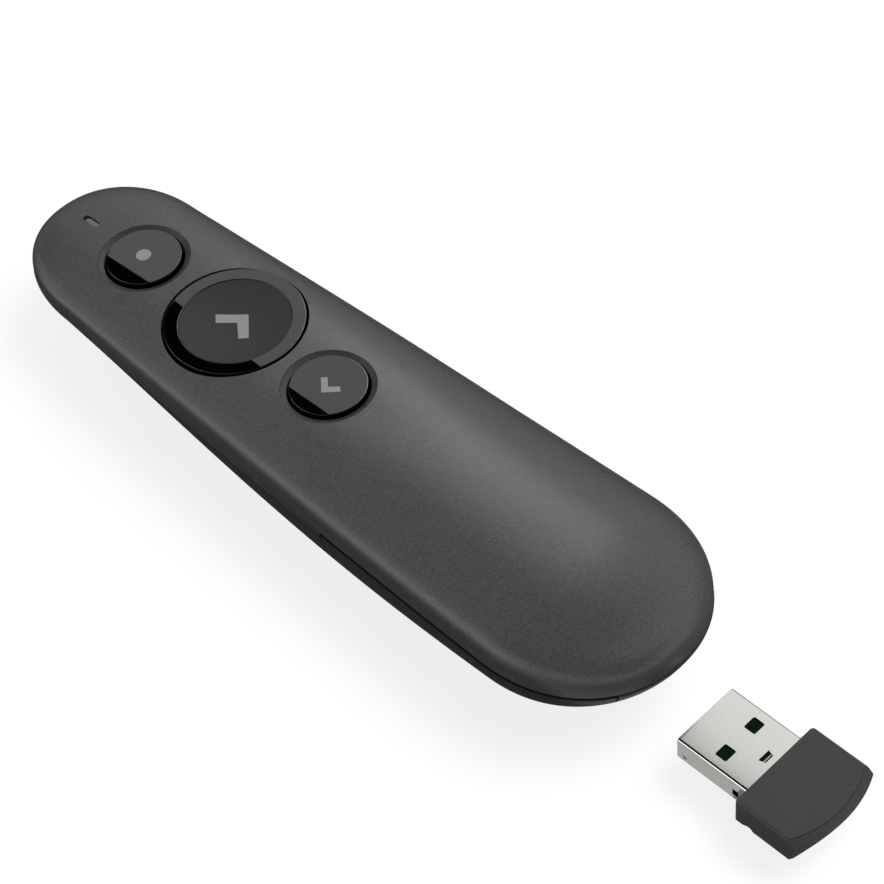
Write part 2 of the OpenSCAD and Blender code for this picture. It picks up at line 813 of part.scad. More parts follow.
// Conical contact spring along +Z from radius r0 to r1 over length l
module coil(r0, r1, l) {
    steps = turns * per_turn;
    pitch_l = l - 2 * wire_r;
    pts = [for (i = [0 : steps], k = [0 : wire_n - 1])
        let (u = i / steps, a = 360 * turns * u, r = r0 + (r1 - r0) * u,
             b = 360 * k / wire_n, q = r + wire_r * cos(b))
        [q * cos(a), q * sin(a), wire_r + pitch_l * u + wire_r * sin(b)]];
    sides = [for (i = [0 : steps - 1], k = [0 : wire_n - 1])
        let (a = i * wire_n + k, b = i * wire_n + (k + 1) % wire_n)
        [a, b, b + wire_n, a + wire_n]];
    polyhedron(pts, concat([for (s = sides) s], [[for (k = [wire_n - 1 : -1 : 0]) k]],
        [[for (k = [0 : wire_n - 1]) steps * wire_n + k]]), convexity = 8);
}

module contact_springs() {
    color([0.82, 0.82, 0.80]) {
        translate([-cell_x, bay_back + plate_t, cell_z]) rotate([-90, 0, 0])
            coil(spring_r[0], spring_r[1], spring_l);
        translate([cell_x, bay_front - plate_t, cell_z]) rotate([90, 0, 0])
            coil(spring_r[0], spring_r[1], spring_l);
    }
}

module battery_leads() {
    color([0.6, 0.08, 0.06]) for (x = [-cell_x, cell_x])
        translate([x, 0, lead_z]) rod_y(lead_r, bay_back + plate_t, lead_end);
}

module cross_slot(r, h) {
    for (a = [0, 90]) rotate([0, 0, a]) translate([-r, -r / 6, 0]) cube([2 * r, r / 3, h]);
}

module screw(r, len, head_r, head_h) {
    cylinder(r = r, h = len, $fn = 24);
    translate([0, 0, -head_h]) difference() {
        cylinder(r = head_r, h = head_h, $fn = 32);
        translate([0, 0, -past]) cross_slot(head_r * 0.6, past + head_h / 2);
    }
}

module board_screws() {
    color([0.55, 0.55, 0.56]) on_deck(next_y) mirrored() for (p = post_at)
        translate([p[0], p[1], -board_depth - board_t])
            screw(screw_r, board_t + screw_len - 0.3, screw_head_r, screw_head_h);
}

module housing_screws() {
    color([0.55, 0.55, 0.56]) mirrored() translate([ear_x, ear_y, ear_z])
        screw(house_r, ear_t + house_len - 0.4, house_head_r, house_head_h);
}

/* Receiver, drawn from its plug's tip at y = 0 back along -Y, its underside at z = 0 */
embed = 6.0;
window_w = 2.3;
window_l = 2.1;
window_x = 3.1;
window_at = 5.6;
notch_at = 10.9;
notch_l = 1.0;
tab_w = [2.2, 1.6];
inner_h = plug_h - 2 * sleeve_t;
tongue_t = 1.9;
tongue_top = cap_under + plug_h - sleeve_t;
arc_r = (pow(cap_w / 2, 2) + pow(cap_mid - cap_side, 2)) / (2 * (cap_mid - cap_side));
cap_end = -plug_l - cap_mid;
// The line round the cap's rear, and the band that falls away behind it
line_r = 16.5;
line_in = 1.15;
band_drop = 1.0;
// How far the rear face leans in under its edge, and the scoop for a nail below that edge
lean = 1.4;
scoop_h = 2.9;
scoop_tilt = 30;
// Radius of the bowed underside, and its height at the sides
belly_r = 31;
under_z = belly_r - sqrt(belly_r * belly_r - cap_w * cap_w / 4);
// Grip notches in the lower side edges, as heights at places behind the cap's front
grip = [[0.9, -past], [1.3, 0], [2.4, 0.6], [3.15, 0.6], [3.55, 0], [3.8, -past]];
grip_in = 1.6;

module at_rest() {
    translate([0, rest_tip, cap_z]) children();
}

module cap_plan() {
    intersection() {
        translate([-cap_w / 2, cap_end]) square([cap_w, cap_mid]);
        union() {
            translate([0, cap_end + arc_r]) circle(arc_r, $fn = 144);
            translate([-cap_w / 2, -plug_l - cap_side / 2]) square([cap_w, cap_side / 2]);
        }
    }
}

// What falls away behind the line on top and under the edge behind
module rear_falls() {
    reach = 4;
    translate([0, cap_end + line_in + line_r, 0]) rotate_extrude($fn = 144)
        polygon([[line_r, cap_t], [line_r + reach, cap_t - reach * band_drop / line_in],
            [line_r + reach, cap_t + past], [line_r, cap_t + past]]);
    translate([0, cap_end + arc_r, 0]) rotate_extrude($fn = 144)
        polygon([[arc_r, cap_t - band_drop], [arc_r - lean, 0], [arc_r - lean, -past],
            [arc_r + reach, -past], [arc_r + reach, cap_t - band_drop]]);
    translate([0, cap_end, under_z]) rotate([-scoop_tilt, 0, 0])
        scale([1, 1, scoop_h / (cap_w / 2)]) rod_y(cap_w / 2, -reach, cap_mid);
}

module receiver_cap() {
    color([0.28, 0.28, 0.29]) at_rest() difference() {
        intersection() {
            linear_extrude(cap_t) cap_plan();
            translate([0, 0, belly_r]) rod_y(belly_r, cap_end - past, past);
        }
        rear_falls();
        slab(plug_w + 0.1, -plug_l - embed - 0.05, past, cap_under - 0.05,
            cap_under + plug_h + 0.05);
        mirrored() translate([cap_w / 2 - grip_in, -plug_l, under_z]) rotate([90, 0, 90])
            linear_extrude(grip_in + past) polygon([for (p = grip) [-p[0], p[1]]]);
    }
}

module receiver_sleeve() {
    color([0.86, 0.86, 0.84]) at_rest() difference() {
        slab(plug_w, -plug_l - embed, 0, cap_under, cap_under + plug_h);
        slab(plug_w - 2 * sleeve_t, -plug_l - embed - past, past, cap_under + sleeve_t,
            cap_under + plug_h - sleeve_t);
        for (x = [-window_x, window_x]) translate([x, 0, 0])
            slab(window_w, -window_at - window_l, -window_at, 0, cap_t);
        // opening near the cap, wider in front, and a notch in each side
        translate([0, -notch_at, plug_h]) linear_extrude(cap_t)
            polygon([[-tab_w[0] / 2, 0], [tab_w[0] / 2, 0],
                [tab_w[1] / 2, -notch_l], [-tab_w[1] / 2, -notch_l]]);
        mirrored() translate([plug_w / 2, -notch_at - notch_l, cap_under + plug_h * 0.37])
            cube([2 * sleeve_t, notch_l, 0.8], center = true);
    }
}

module receiver_board() {
    color([0.03, 0.14, 0.08]) at_rest()
        slab(plug_w - 2 * sleeve_t, -plug_l - embed, -0.7, tongue_top - tongue_t, tongue_top);
}

module receiver_contacts() {
    color([0.85, 0.68, 0.30]) at_rest() for (x = [-3.5, -1, 1, 3.5]) translate([x, 0, 0])
        slab(1.0, -9, -1.2, tongue_top - tongue_t - 0.2, tongue_top - tongue_t);
}

module receiver_chip() {
    color([0.08, 0.08, 0.09]) at_rest()
        slab(4, -plug_l - 5, -plug_l - 1, tongue_top - tongue_t - 0.9, tongue_top - tongue_t);
}

top_shell();
bottom_shell();
battery_door();
light_pipe();
status_led();
laser_window();
laser_barrel();
laser_lens();
laser_diode();
main_board();
switch_bases();
laser_switch_stem();
next_switch_stem();
back_switch_stem();
laser_button();
next_button_ring();
next_button_dish();
back_button();
radio_chip();
memory_chip();
crystal();
capacitors();
battery_left();
battery_right();
bridge_contact();
terminal_contacts();
contact_springs();
battery_leads();
board_screws();
housing_screws();
receiver_cap();
receiver_sleeve();
receiver_board();
receiver_contacts();
receiver_chip();
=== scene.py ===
import math
import bmesh
import bpy
import numpy as np
from mathutils import Matrix, Vector


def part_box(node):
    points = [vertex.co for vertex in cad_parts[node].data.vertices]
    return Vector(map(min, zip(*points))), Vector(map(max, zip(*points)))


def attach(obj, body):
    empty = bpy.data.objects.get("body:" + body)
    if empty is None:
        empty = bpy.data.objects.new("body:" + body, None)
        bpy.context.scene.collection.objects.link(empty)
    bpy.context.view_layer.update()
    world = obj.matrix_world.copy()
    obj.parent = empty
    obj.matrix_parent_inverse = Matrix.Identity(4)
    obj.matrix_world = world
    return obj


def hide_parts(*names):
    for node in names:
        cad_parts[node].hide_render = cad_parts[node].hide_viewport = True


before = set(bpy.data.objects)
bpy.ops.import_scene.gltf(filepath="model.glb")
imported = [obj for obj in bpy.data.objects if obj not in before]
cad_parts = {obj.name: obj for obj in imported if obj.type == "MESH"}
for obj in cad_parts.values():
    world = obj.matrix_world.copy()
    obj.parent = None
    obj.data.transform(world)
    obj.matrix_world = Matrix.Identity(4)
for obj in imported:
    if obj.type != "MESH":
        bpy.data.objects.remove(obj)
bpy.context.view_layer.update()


# Lower shell. Moulded graphite plastic with a fine spark grain: it carries the battery bay, the
# block that the receiver docks in, and the laser's ribs. Two screws hold the upper shell to it.

# Both shells and the door are cut from one form: gently waisted flanks between a round tail and
# a narrower round nose, with a crown over the seam and a hull under it.
# Sizes are in millimetres, and a mesh is scaled to metres when it is made.
MM = 0.001
BODY_LENGTH = 136.3
TAIL_LENGTH, TAIL_POWER = 21.2, 2.14
NOSE_LENGTH, NOSE_POWER = 17.8, 2.14
WIDTHS = (37.4, 34.2, 29.1)
DECK_MIDDLE, DECK_FALL = 25.2, 1.6
SEAM_MIDDLE, SEAM_RISE = 18.4, 0.65
KEELS = (3.2, -2.1, 16.9)
NOSE_DEPTH, KEEL_BLEND = 6.9, 3.0
CROWN_POWER, ARCH_POWER, HULL_POWER = 3.4, 2.3, 1.715
ARCH_FROM, ARCH_TO = -25.0, 12.0
STATION = 50.0
SIDE_POINTS, LEVELS, LEVEL_SPREAD = 150, 44, 1.7
EDGE_ROUND = 0.22
SEAM_REVEAL = 0.05
SEAM_STEP = 0.08
DECK_TILT = math.atan(DECK_FALL / STATION)


def through(values, y):
    """A smooth size along the body, from its values behind, at and before the middle."""
    s = y / STATION
    return values[0] * s * (s - 1) / 2 + values[1] * (1 - s * s) + values[2] * s * (s + 1) / 2


def deck_height(y):
    return DECK_MIDDLE - DECK_FALL * y / STATION


def seam_height(y):
    return SEAM_MIDDLE + SEAM_RISE * (y / STATION) ** 2


def hull_depth(y):
    """How far the keel lies under the seam: it eases into the nose's depth."""
    deep = seam_height(y) - through(KEELS, y)
    return (deep + NOSE_DEPTH + np.sqrt((deep - NOSE_DEPTH) ** 2 + KEEL_BLEND ** 2)) / 2


def crown_across(foot):
    """The crown's power across the body: it is flat over the buttons and arched over the tail."""
    u = np.clip((foot - ARCH_FROM) / (ARCH_TO - ARCH_FROM), 0, 1)
    return ARCH_POWER + (CROWN_POWER - ARCH_POWER) * u * u * (3 - 2 * u)


def hull_across(foot):
    return np.full_like(foot, HULL_POWER)


def outline(inset, angle, across):
    """The outline as a closed ring, inset by a wall and drawn in to the spine by an angle."""
    turn = np.pi * np.arange(SIDE_POINTS + 1) / SIDE_POINTS
    y = (inset - BODY_LENGTH / 2) * np.cos(turn)
    foot = np.clip(y, TAIL_LENGTH - BODY_LENGTH / 2, BODY_LENGTH / 2 - NOSE_LENGTH)
    at_tail = np.clip((foot - y) / (TAIL_LENGTH - inset), 0, 1)
    at_nose = np.clip((y - foot) / (NOSE_LENGTH - inset), 0, 1)
    narrowing = np.where(y < foot, (1 - at_tail ** TAIL_POWER) ** (1 / TAIL_POWER),
                         (1 - at_nose ** NOSE_POWER) ** (1 / NOSE_POWER))
    share = max(math.cos(angle), 0) ** (2 / across(foot))
    half = (through(WIDTHS, foot) / 2 - inset) * narrowing * share
    along = foot + (y - foot) * share
    return (np.concatenate([half, -half[-2:0:-1]]),
            np.concatenate([along, along[-2:0:-1]]))


def dome(kind, inset, edge=0.0, overlap=0.0):
    """Rings from the seam to the crown's ridge or the hull's keel, inset by a wall."""
    way, power, across = 1, CROWN_POWER, crown_across
    if kind == "hull":
        way, power, across = -1, HULL_POWER, hull_across
    rings = []

    def level(extra, angle, rise):
        out = math.sin(angle) ** (2 / power)
        x, y = outline(inset + extra, angle, across)
        seam = seam_height(y)
        full = deck_height(y) - seam if kind == "crown" else hull_depth(y)
        rings.append(np.stack([x, y, seam + way * (rise + (full - inset - rise) * out)], 1))

    if overlap:
        level(0, 0, -overlap)
    if edge:
        for degrees in (0, 30, 60):
            a = math.radians(degrees)
            level(edge * (1 - math.sin(a)), 0, SEAM_REVEAL + edge * (1 - math.cos(a)))
    start = SEAM_REVEAL + edge if edge else 0
    level(0, 0, start)
    for k in range(1, LEVELS + 1):
        u = (k / LEVELS) ** LEVEL_SPREAD
        v = (1 - k / LEVELS) ** LEVEL_SPREAD
        level(0, math.pi / 2 * u / (u + v), start)
    return rings


def mesh_object(name, points, faces):
    mesh = bpy.data.meshes.new(name)
    mesh.from_pydata([tuple(p * MM) for p in np.asarray(points, float)], [], faces)
    made = bpy.data.objects.new(name, mesh)
    bpy.context.scene.collection.objects.link(made)
    return made


def weld(made, reach=1e-6):
    """Joins points that meet, within a reach in metres, and turns the faces outwards."""
    shape = bmesh.new()
    shape.from_mesh(made.data)
    bmesh.ops.remove_doubles(shape, verts=shape.verts, dist=reach)
    bmesh.ops.dissolve_degenerate(shape, edges=shape.edges, dist=reach / 2)
    bmesh.ops.recalc_face_normals(shape, faces=shape.faces)
    shape.to_mesh(made.data)
    shape.free()
    return made


def ring_faces(count, rings, closed=False):
    """Faces from each ring of points to the next, and from the last to the first if closed."""
    return [(k * count + j, k * count + (j + 1) % count,
             (k + 1) % rings * count + (j + 1) % count, (k + 1) % rings * count + j)
            for k in range(rings if closed else rings - 1) for j in range(count)]


def closed_dome(name, kind, inset, edge=0.0, overlap=0.0):
    """A solid dome: its rings, with strips across its base."""
    rings = dome(kind, inset, edge, overlap)
    count = 2 * SIDE_POINTS
    faces = ring_faces(count, len(rings))
    faces += [tuple(dict.fromkeys((j, j + 1, count - j - 1, (count - j) % count)))
              for j in range(SIDE_POINTS)]
    return weld(mesh_object(name, np.concatenate(rings), faces))


def stacked(name, rings):
    """A closed form through rings of equal count, flat at both ends."""
    count = len(rings[0])
    points = [p for ring in rings for p in ring]
    faces = ring_faces(count, len(rings))
    faces += [tuple(range(count)), tuple(range(len(points) - 1, len(points) - count - 1, -1))]
    return weld(mesh_object(name, points, faces))


def rod(name, radius, y0, y1, z, sides=64):
    """A round bar along the body."""
    turn = 2 * np.pi * np.arange(sides) / sides
    return stacked(name, [[(radius * math.cos(a), y, z + radius * math.sin(a)) for a in turn]
                          for y in (y0, y1)])


def block(name, half, y0, y1, z0, z1, middle=0.0):
    """A plain box to cut with, half its width to each side of its middle."""
    points = [(x, y, z) for x in (middle - half, middle + half) for y in (y0, y1) for z in (z0, z1)]
    faces = [(0, 1, 3, 2), (4, 6, 7, 5), (0, 4, 5, 1), (2, 3, 7, 6), (0, 2, 6, 4), (1, 5, 7, 3)]
    return weld(mesh_object(name, points, faces))


def settle(made):
    """Makes what the modifiers give into the piece's own mesh."""
    given = made.evaluated_get(bpy.context.evaluated_depsgraph_get())
    mesh = bpy.data.meshes.new_from_object(given)
    made.modifiers.clear()
    made.data = mesh
    return made


def shape_with(made, tool, way):
    """Adds, cuts or keeps what the piece shares with a tool, and puts the tool away."""
    cut = made.modifiers.new("cut", "BOOLEAN")
    cut.operation = way
    cut.solver = "MANIFOLD"
    cut.object = tool
    settle(made)
    bpy.data.objects.remove(tool)
    return made


def copy_of(source, name):
    made = source.copy()
    made.data = source.data.copy()
    made.name = name
    made.parent = None
    made.matrix_world = Matrix.Identity(4)
    bpy.context.scene.collection.objects.link(made)
    return made


def inner_parts(node, room):
    """The moulded ribs, posts and walls inside a shell, as they are on the frame."""
    parts = copy_of(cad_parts[node], node + "_inside")
    for key in list(parts.keys()):
        del parts[key]
    parts.hide_render = False
    weld(parts, 2e-6)
    return shape_with(parts, room, "INTERSECT")


def smooth_between(made, degrees=28):
    """Smooth faces, with every edge sharper than this angle left crisp and flats left flat."""
    shape = bmesh.new()
    shape.from_mesh(made.data)
    for face in shape.faces:
        face.smooth = True
    for edge in shape.edges:
        edge.smooth = len(edge.link_faces) == 2 and edge.calc_face_angle(0) < math.radians(degrees)
    shape.to_mesh(made.data)
    shape.free()
    even = made.modifiers.new("even", "WEIGHTED_NORMAL")
    even.keep_sharp = True
    return settle(made)


def finish_piece(made, body, slot_name, material, *nodes):
    made.data.materials.clear()
    made.data.materials.append(material)
    for face in made.data.polygons:
        face.material_index = 0
    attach(made, body)
    if nodes:
        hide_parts(*nodes)
    return made


def new_material(name, colour, roughness, metallic=0.0, index=1.5, clear=0.0):
    """A material with one shader; its grain is added where it is used."""
    material = bpy.data.materials.new(name)
    material.use_nodes = True
    shader = material.node_tree.nodes["Principled BSDF"]
    for socket, value in (("Base Color", (*colour, 1)), ("Roughness", roughness),
                          ("Metallic", metallic), ("IOR", index), ("Transmission Weight", clear)):
        shader.inputs[socket].default_value = value
    return material


def add_grain(material, size, relief, contrast, strength=0.5, detail=3.0):
    """Fine moulded or cast grain: it moves the surface a little and mottles its colour."""
    nodes, links = material.node_tree.nodes, material.node_tree.links
    shader = nodes["Principled BSDF"]
    place = nodes.new("ShaderNodeTexCoord")
    grain = nodes.new("ShaderNodeTexNoise")
    grain.inputs["Scale"].default_value = 1 / (size * MM)
    grain.inputs["Detail"].default_value = detail
    grain.inputs["Roughness"].default_value = 0.6
    links.new(place.outputs["Object"], grain.inputs["Vector"])
    bump = nodes.new("ShaderNodeBump")
    bump.inputs["Strength"].default_value = strength
    bump.inputs["Distance"].default_value = relief * MM
    links.new(grain.outputs["Fac"], bump.inputs["Height"])
    links.new(bump.outputs["Normal"], shader.inputs["Normal"])
    if contrast:
        colour = shader.inputs["Base Color"].default_value[:3]
        ramp = nodes.new("ShaderNodeValToRGB")
        stops = ramp.color_ramp.elements
        for stop, start, share in zip(stops, (0.3, 0.7), (1 - contrast, 1 + contrast)):
            stop.position = start
            stop.color = (*[c * share for c in colour], 1)
        links.new(grain.outputs["Fac"], ramp.inputs["Fac"])
        links.new(ramp.outputs["Color"], shader.inputs["Base Color"])
    return material


# The shell's walls and gaps, the door's place in it, the block with its pocket, and the laser's
# bores. The last line holds how far the cutting boxes reach, past all that they cut.
LOW_WALL, BAY_WALL = 1.6, 1.2
FIT_GAP, DOCK_GAP = 0.2, 0.35
DOOR_FRONT = -12.0
TONGUE_HALF, TONGUE_FRONT, LEDGE = 12.2, 12.6, 11.8
BAY_REAR_WALL = -37.8
BLOCK_HALF, BLOCK_UNDER = 10.0, 5.4
CAP_WIDTH, CAP_THICK, CAP_UNDERSIDE = 17.0, 5.8, 5.9
DOCK_FRONT = -51.2
LASER_HEIGHT, WINDOW_REAR = 18.1, 64.6
LASER_BORES = (("barrel_place", 2.55, 53.1, 62.8), ("beam_way", 1.75, 60.6, 69.0),
               ("window_seat", 2.65, WINDOW_REAR, 69.2))
FAR, BELOW, FAR_BELOW, FAR_ABOVE = 120.0, -1.0, -9.0, 60.0

lower_plastic = add_grain(new_material("lower_shell_plastic", (0.026, 0.026, 0.028), 0.36, index=1.38),
                          0.16, 0.020, 0.10)


def hull_solid(name, inset, edge=0.0, overlap=0.0):
    """The hull with the flat face that the clicker lies on."""
    made = closed_dome(name, "hull", inset, edge, overlap)
    return shape_with(made, block("floor_cut", FAR, -FAR, FAR, -FAR, max(inset, 0)), "DIFFERENCE")


def cut_laser_bores(shell):
    """Half of the barrel's place, of the beam's way out and of the window's seat."""
    for name, radius, rear, front in LASER_BORES:
        shape_with(shell, rod(name, radius, rear, front, LASER_HEIGHT), "DIFFERENCE")


lower_shell = hull_solid("lower_shell", -SEAM_STEP, EDGE_ROUND)
shape_with(lower_shell, hull_solid("lower_room", LOW_WALL, overlap=1.0), "DIFFERENCE")
block_skin = copy_of(lower_shell, "block_skin")
block_keep = block("keep", BLOCK_HALF, -FAR, BAY_REAR_WALL + BAY_WALL / 2, BLOCK_UNDER, FAR_ABOVE)
shape_with(block_skin, block_keep, "INTERSECT")
pocket = block("pocket", CAP_WIDTH / 2 + DOCK_GAP, -FAR, DOCK_FRONT + DOCK_GAP,
               BELOW, CAP_UNDERSIDE + CAP_THICK + DOCK_GAP)
shape_with(block_skin, pocket, "DIFFERENCE")
door_place = block("door_place", FAR, -FAR, DOOR_FRONT + FIT_GAP / 2, FAR_BELOW, FAR_ABOVE)
shape_with(lower_shell, door_place, "DIFFERENCE")
tongue_place = block("tongue_place", TONGUE_HALF + FIT_GAP / 2, -FAR, TONGUE_FRONT + FIT_GAP / 2,
                     FAR_BELOW, LEDGE)
shape_with(lower_shell, tongue_place, "DIFFERENCE")
cut_laser_bores(lower_shell)
shape_with(lower_shell, block_skin, "UNION")
lower_inside = hull_solid("lower_inside", LOW_WALL / 2, overlap=3.0)
shape_with(lower_shell, inner_parts("bottom_shell", lower_inside), "UNION")
smooth_between(lower_shell)
finish_piece(lower_shell, "housing", "lower_shell", lower_plastic, "bottom_shell")


# Battery contacts and cells. Nickel-plated plates and conical springs stand at the ends of the
# bay; two AAA cells lie side by side in it, each a steel can in a plain printed jacket.
CELL_STEEL, JACKET_BLUE, BAND_GREY = (0.62, 0.61, 0.58), (0.018, 0.075, 0.20), (0.42, 0.42, 0.40)
CELL_END, CELL_BAND = 0.045, 0.30


def dress(node, material):
    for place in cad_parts[node].material_slots:
        place.material = material


nickel = add_grain(new_material("nickel_plate", (0.60, 0.59, 0.56), 0.28, 1.0), 0.6, 0.004, 0.06)
for node in ("bridge_contact", "terminal_contacts", "contact_springs"):
    dress(node, nickel)

lead_red = add_grain(new_material("lead_insulation", (0.32, 0.012, 0.010), 0.45), 0.8, 0.004, 0.08)
dress("battery_leads", lead_red)


def banded(material, along, socket, bands):
    """Drives a shader's socket in bands, each with the share of the length where it starts."""
    nodes, links = material.node_tree.nodes, material.node_tree.links
    ramp = nodes.new("ShaderNodeValToRGB")
    ramp.color_ramp.interpolation = "CONSTANT"
    stops = ramp.color_ramp.elements
    stops.remove(stops[1])
    stops[0].color = (*bands[0][1], 1)
    for start, tint in bands[1:]:
        stops.new(start).color = (*tint, 1)
    links.new(along, ramp.inputs["Fac"])
    links.new(ramp.outputs["Color"], nodes["Principled BSDF"].inputs[socket])


def cell_finish(name, nub_at_front):
    """Bare steel at both ends of a cell, and a jacket with a grey band towards its nub."""
    low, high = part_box(name)
    material = add_grain(new_material(name + "_jacket", JACKET_BLUE, 0.32), 2.5, 0.004, 0.0)
    nodes, links = material.node_tree.nodes, material.node_tree.links
    place = nodes.new("ShaderNodeTexCoord")
    parts = nodes.new("ShaderNodeSeparateXYZ")
    links.new(place.outputs["Object"], parts.inputs["Vector"])
    along = nodes.new("ShaderNodeMapRange")
    along.inputs["From Min"].default_value = low.y
    along.inputs["From Max"].default_value = high.y
    links.new(parts.outputs["Y"], along.inputs["Value"])
    jacket = [(CELL_END, BAND_GREY), (CELL_BAND, JACKET_BLUE)]
    if nub_at_front:
        jacket = [(CELL_END, JACKET_BLUE), (1 - CELL_BAND, BAND_GREY)]
    bands = [(0.0, CELL_STEEL), *jacket, (1 - CELL_END, CELL_STEEL)]
    banded(material, along.outputs["Result"], "Base Color", bands)
    metal = [(start, (1, 1, 1) if tint == CELL_STEEL else (0, 0, 0)) for start, tint in bands]
    banded(material, along.outputs["Result"], "Metallic", metal)
    dress(name, material)


cell_finish("battery_left", True)
cell_finish("battery_right", False)


# Laser. A brass barrel holds the diode's plated can at its rear and a lens at its front; a dark
# red window, a disc trimmed to the nose's form, closes the bore.
WINDOW_RADIUS, WINDOW_FRONT, WINDOW_INSET = 2.6, 65.6, 0.10

brass = add_grain(new_material("turned_brass", (0.52, 0.33, 0.10), 0.26, 1.0), 0.3, 0.004, 0.08)
dress("laser_barrel", brass)
diode_can = add_grain(new_material("diode_can", (0.58, 0.56, 0.50), 0.25, 1.0), 0.4, 0.003, 0.05)
dress("laser_diode", diode_can)
dress("laser_lens", new_material("lens_glass", (0.86, 0.92, 0.94), 0.04, index=1.52, clear=0.95))
window_acrylic = new_material("window_acrylic", (0.10, 0.006, 0.008), 0.08, index=1.49, clear=0.5)

nose_form = closed_dome("nose_form", "crown", WINDOW_INSET, overlap=1.0)
shape_with(nose_form, hull_solid("nose_form_low", WINDOW_INSET), "UNION")
window = rod("window", WINDOW_RADIUS, WINDOW_REAR, WINDOW_FRONT, LASER_HEIGHT)
smooth_between(shape_with(window, nose_form, "INTERSECT"))
finish_piece(window, "housing", "laser_window", window_acrylic, "laser_window")


# Main board. Glass-fibre board under a green mask, with the radio and memory chips, a crystal
# can and small capacitors; three switch bases, each with a moulded stem.
green_mask = add_grain(new_material("solder_mask", (0.012, 0.095, 0.035), 0.35), 0.9, 0.006, 0.25)
dress("main_board", green_mask)
chip_black = add_grain(new_material("chip_package", (0.018, 0.018, 0.020), 0.55), 0.12, 0.004, 0.12)
for node in ("radio_chip", "memory_chip", "receiver_chip"):
    dress(node, chip_black)
dress("crystal", nickel)
dress("capacitors", add_grain(new_material("ceramic", (0.30, 0.19, 0.10), 0.5), 0.2, 0.004, 0.12))
dress("switch_bases", add_grain(new_material("switch_base", (0.020, 0.020, 0.022), 0.5), 0.2, 0.004, 0.1))
stem_cream = add_grain(new_material("switch_stem", (0.50, 0.46, 0.38), 0.45), 0.2, 0.003, 0.05)
for node in ("laser_switch_stem", "next_switch_stem", "back_switch_stem"):
    dress(node, stem_cream)


# Status light. A small lamp on the board shines up a clear moulded pipe, whose frosted end lies
# in the slot near the nose.
dress("status_led", add_grain(new_material("led_lens", (0.62, 0.58, 0.40), 0.25), 0.3, 0.002, 0.05))
frosted = new_material("light_pipe", (0.16, 0.16, 0.16), 0.42, clear=0.2)
dress("light_pipe", add_grain(frosted, 0.25, 0.004, 0.06))


# Buttons. High-gloss black caps with a small edge radius, a skirt, two retaining tabs and a
# plunger each. They lie in the plane of the deck: the small caps stand a little proud of it,
# and the ring of the next button is nearly flush.
LASER_AT, NEXT_AT, BACK_AT = 46.7, 24.9, 3.5
SMALL_RADIUS, RING_RADIUS, DISH_RADIUS = 6.15, 11.3, 9.0
PROUD, SKIRT, SKIRT_FOOT, CAP_UNDER = 0.25, 0.9, -2.5, -1.35
STEM_TOP, PLUNGER, RING_PLUNGER = -3.4, 1.5, 2.0
CAP_EDGE, RING_LIP, FLAT_MARGIN = 0.08, 0.10, 0.04
RING_PROUD, DISH_SAG, DISH_THICK, RIM_DROP = 0.05, 0.87, 0.5, 0.05
DISH_FLOOR = RING_PROUD - RIM_DROP - DISH_SAG - DISH_THICK
RING_UNDER = DISH_FLOOR - 0.7
RING_INNER = DISH_RADIUS + 0.01
TAB_TOP, TAB_REACH, TAB_HALF, TAB_STEPS = -1.9, 1.0, 2.2, 8


def on_deck(made, at):
    """Lays a piece drawn on the flat in the plane of the tilted deck."""
    lift = Matrix.Translation((0, 0, DECK_MIDDLE * MM))
    tilt = Matrix.Rotation(-DECK_TILT, 4, "X")
    made.data.transform(lift @ tilt @ Matrix.Translation((0, at * MM, 0)))
    return made


def arc(x, y, radius, first, last, steps=6):
    """Points round (x, y), between two angles in degrees."""
    angles = [math.radians(first + (last - first) * i / steps) for i in range(steps + 1)]
    return [(x + radius * math.cos(a), y + radius * math.sin(a)) for a in angles]


def turned(name, profile, sides=160):
    """A closed lathe form from points of radius and height that start and end on the axis."""
    points, faces, rows = [], [], []
    for r, z in profile:
        if r < 1e-6:
            rows.append([len(points)] * sides)
            points.append((0, 0, z))
        else:
            rows.append(list(range(len(points), len(points) + sides)))
            angles = [2 * math.pi * j / sides for j in range(sides)]
            points += [(r * math.cos(a), r * math.sin(a), z) for a in angles]
    for low, high in zip(rows, rows[1:]):
        for j in range(sides):
            k = (j + 1) % sides
            faces.append(tuple(dict.fromkeys((low[j], low[k], high[k], high[j]))))
    return weld(mesh_object(name, points, faces))


def joined(name, pieces):
    """Several closed meshes as one piece."""
    shape = bmesh.new()
    for piece in pieces:
        shape.from_mesh(piece.data)
    mesh = bpy.data.meshes.new(name)
    shape.to_mesh(mesh)
    shape.free()
    for piece in pieces:
        bpy.data.objects.remove(piece)
    made = bpy.data.objects.new(name, mesh)
    bpy.context.scene.collection.objects.link(made)
    return made


def tab(radius, turn):
    """One retaining tab, an arc that stands out from the skirt under the deck."""
    points, faces = [], []
    for i in range(TAB_STEPS + 1):
        side = TAB_HALF * (2 * i / TAB_STEPS - 1)
        for r in (radius - 0.02, radius + TAB_REACH):
            a = math.asin(side / r) + turn
            points += [(r * math.cos(a), r * math.sin(a), z) for z in (SKIRT_FOOT, TAB_TOP)]
    for a in range(0, 4 * TAB_STEPS, 4):
        b = a + 4
        faces += [(a, b, b + 1, a + 1), (a + 2, a + 3, b + 3, b + 2),
                  (a, a + 2, b + 2, b), (a + 1, b + 1, b + 3, a + 3)]
    end = 4 * TAB_STEPS
    faces += [(0, 1, 3, 2), (end, end + 2, end + 3, end + 1)]
    return weld(mesh_object("tab", points, faces))


gloss_black = new_material("gloss_black", (0.0010, 0.0010, 0.0011), 0.008, index=1.70)
add_grain(gloss_black, 6.0, 0.00005, 0.0, strength=0.1, detail=1.0)


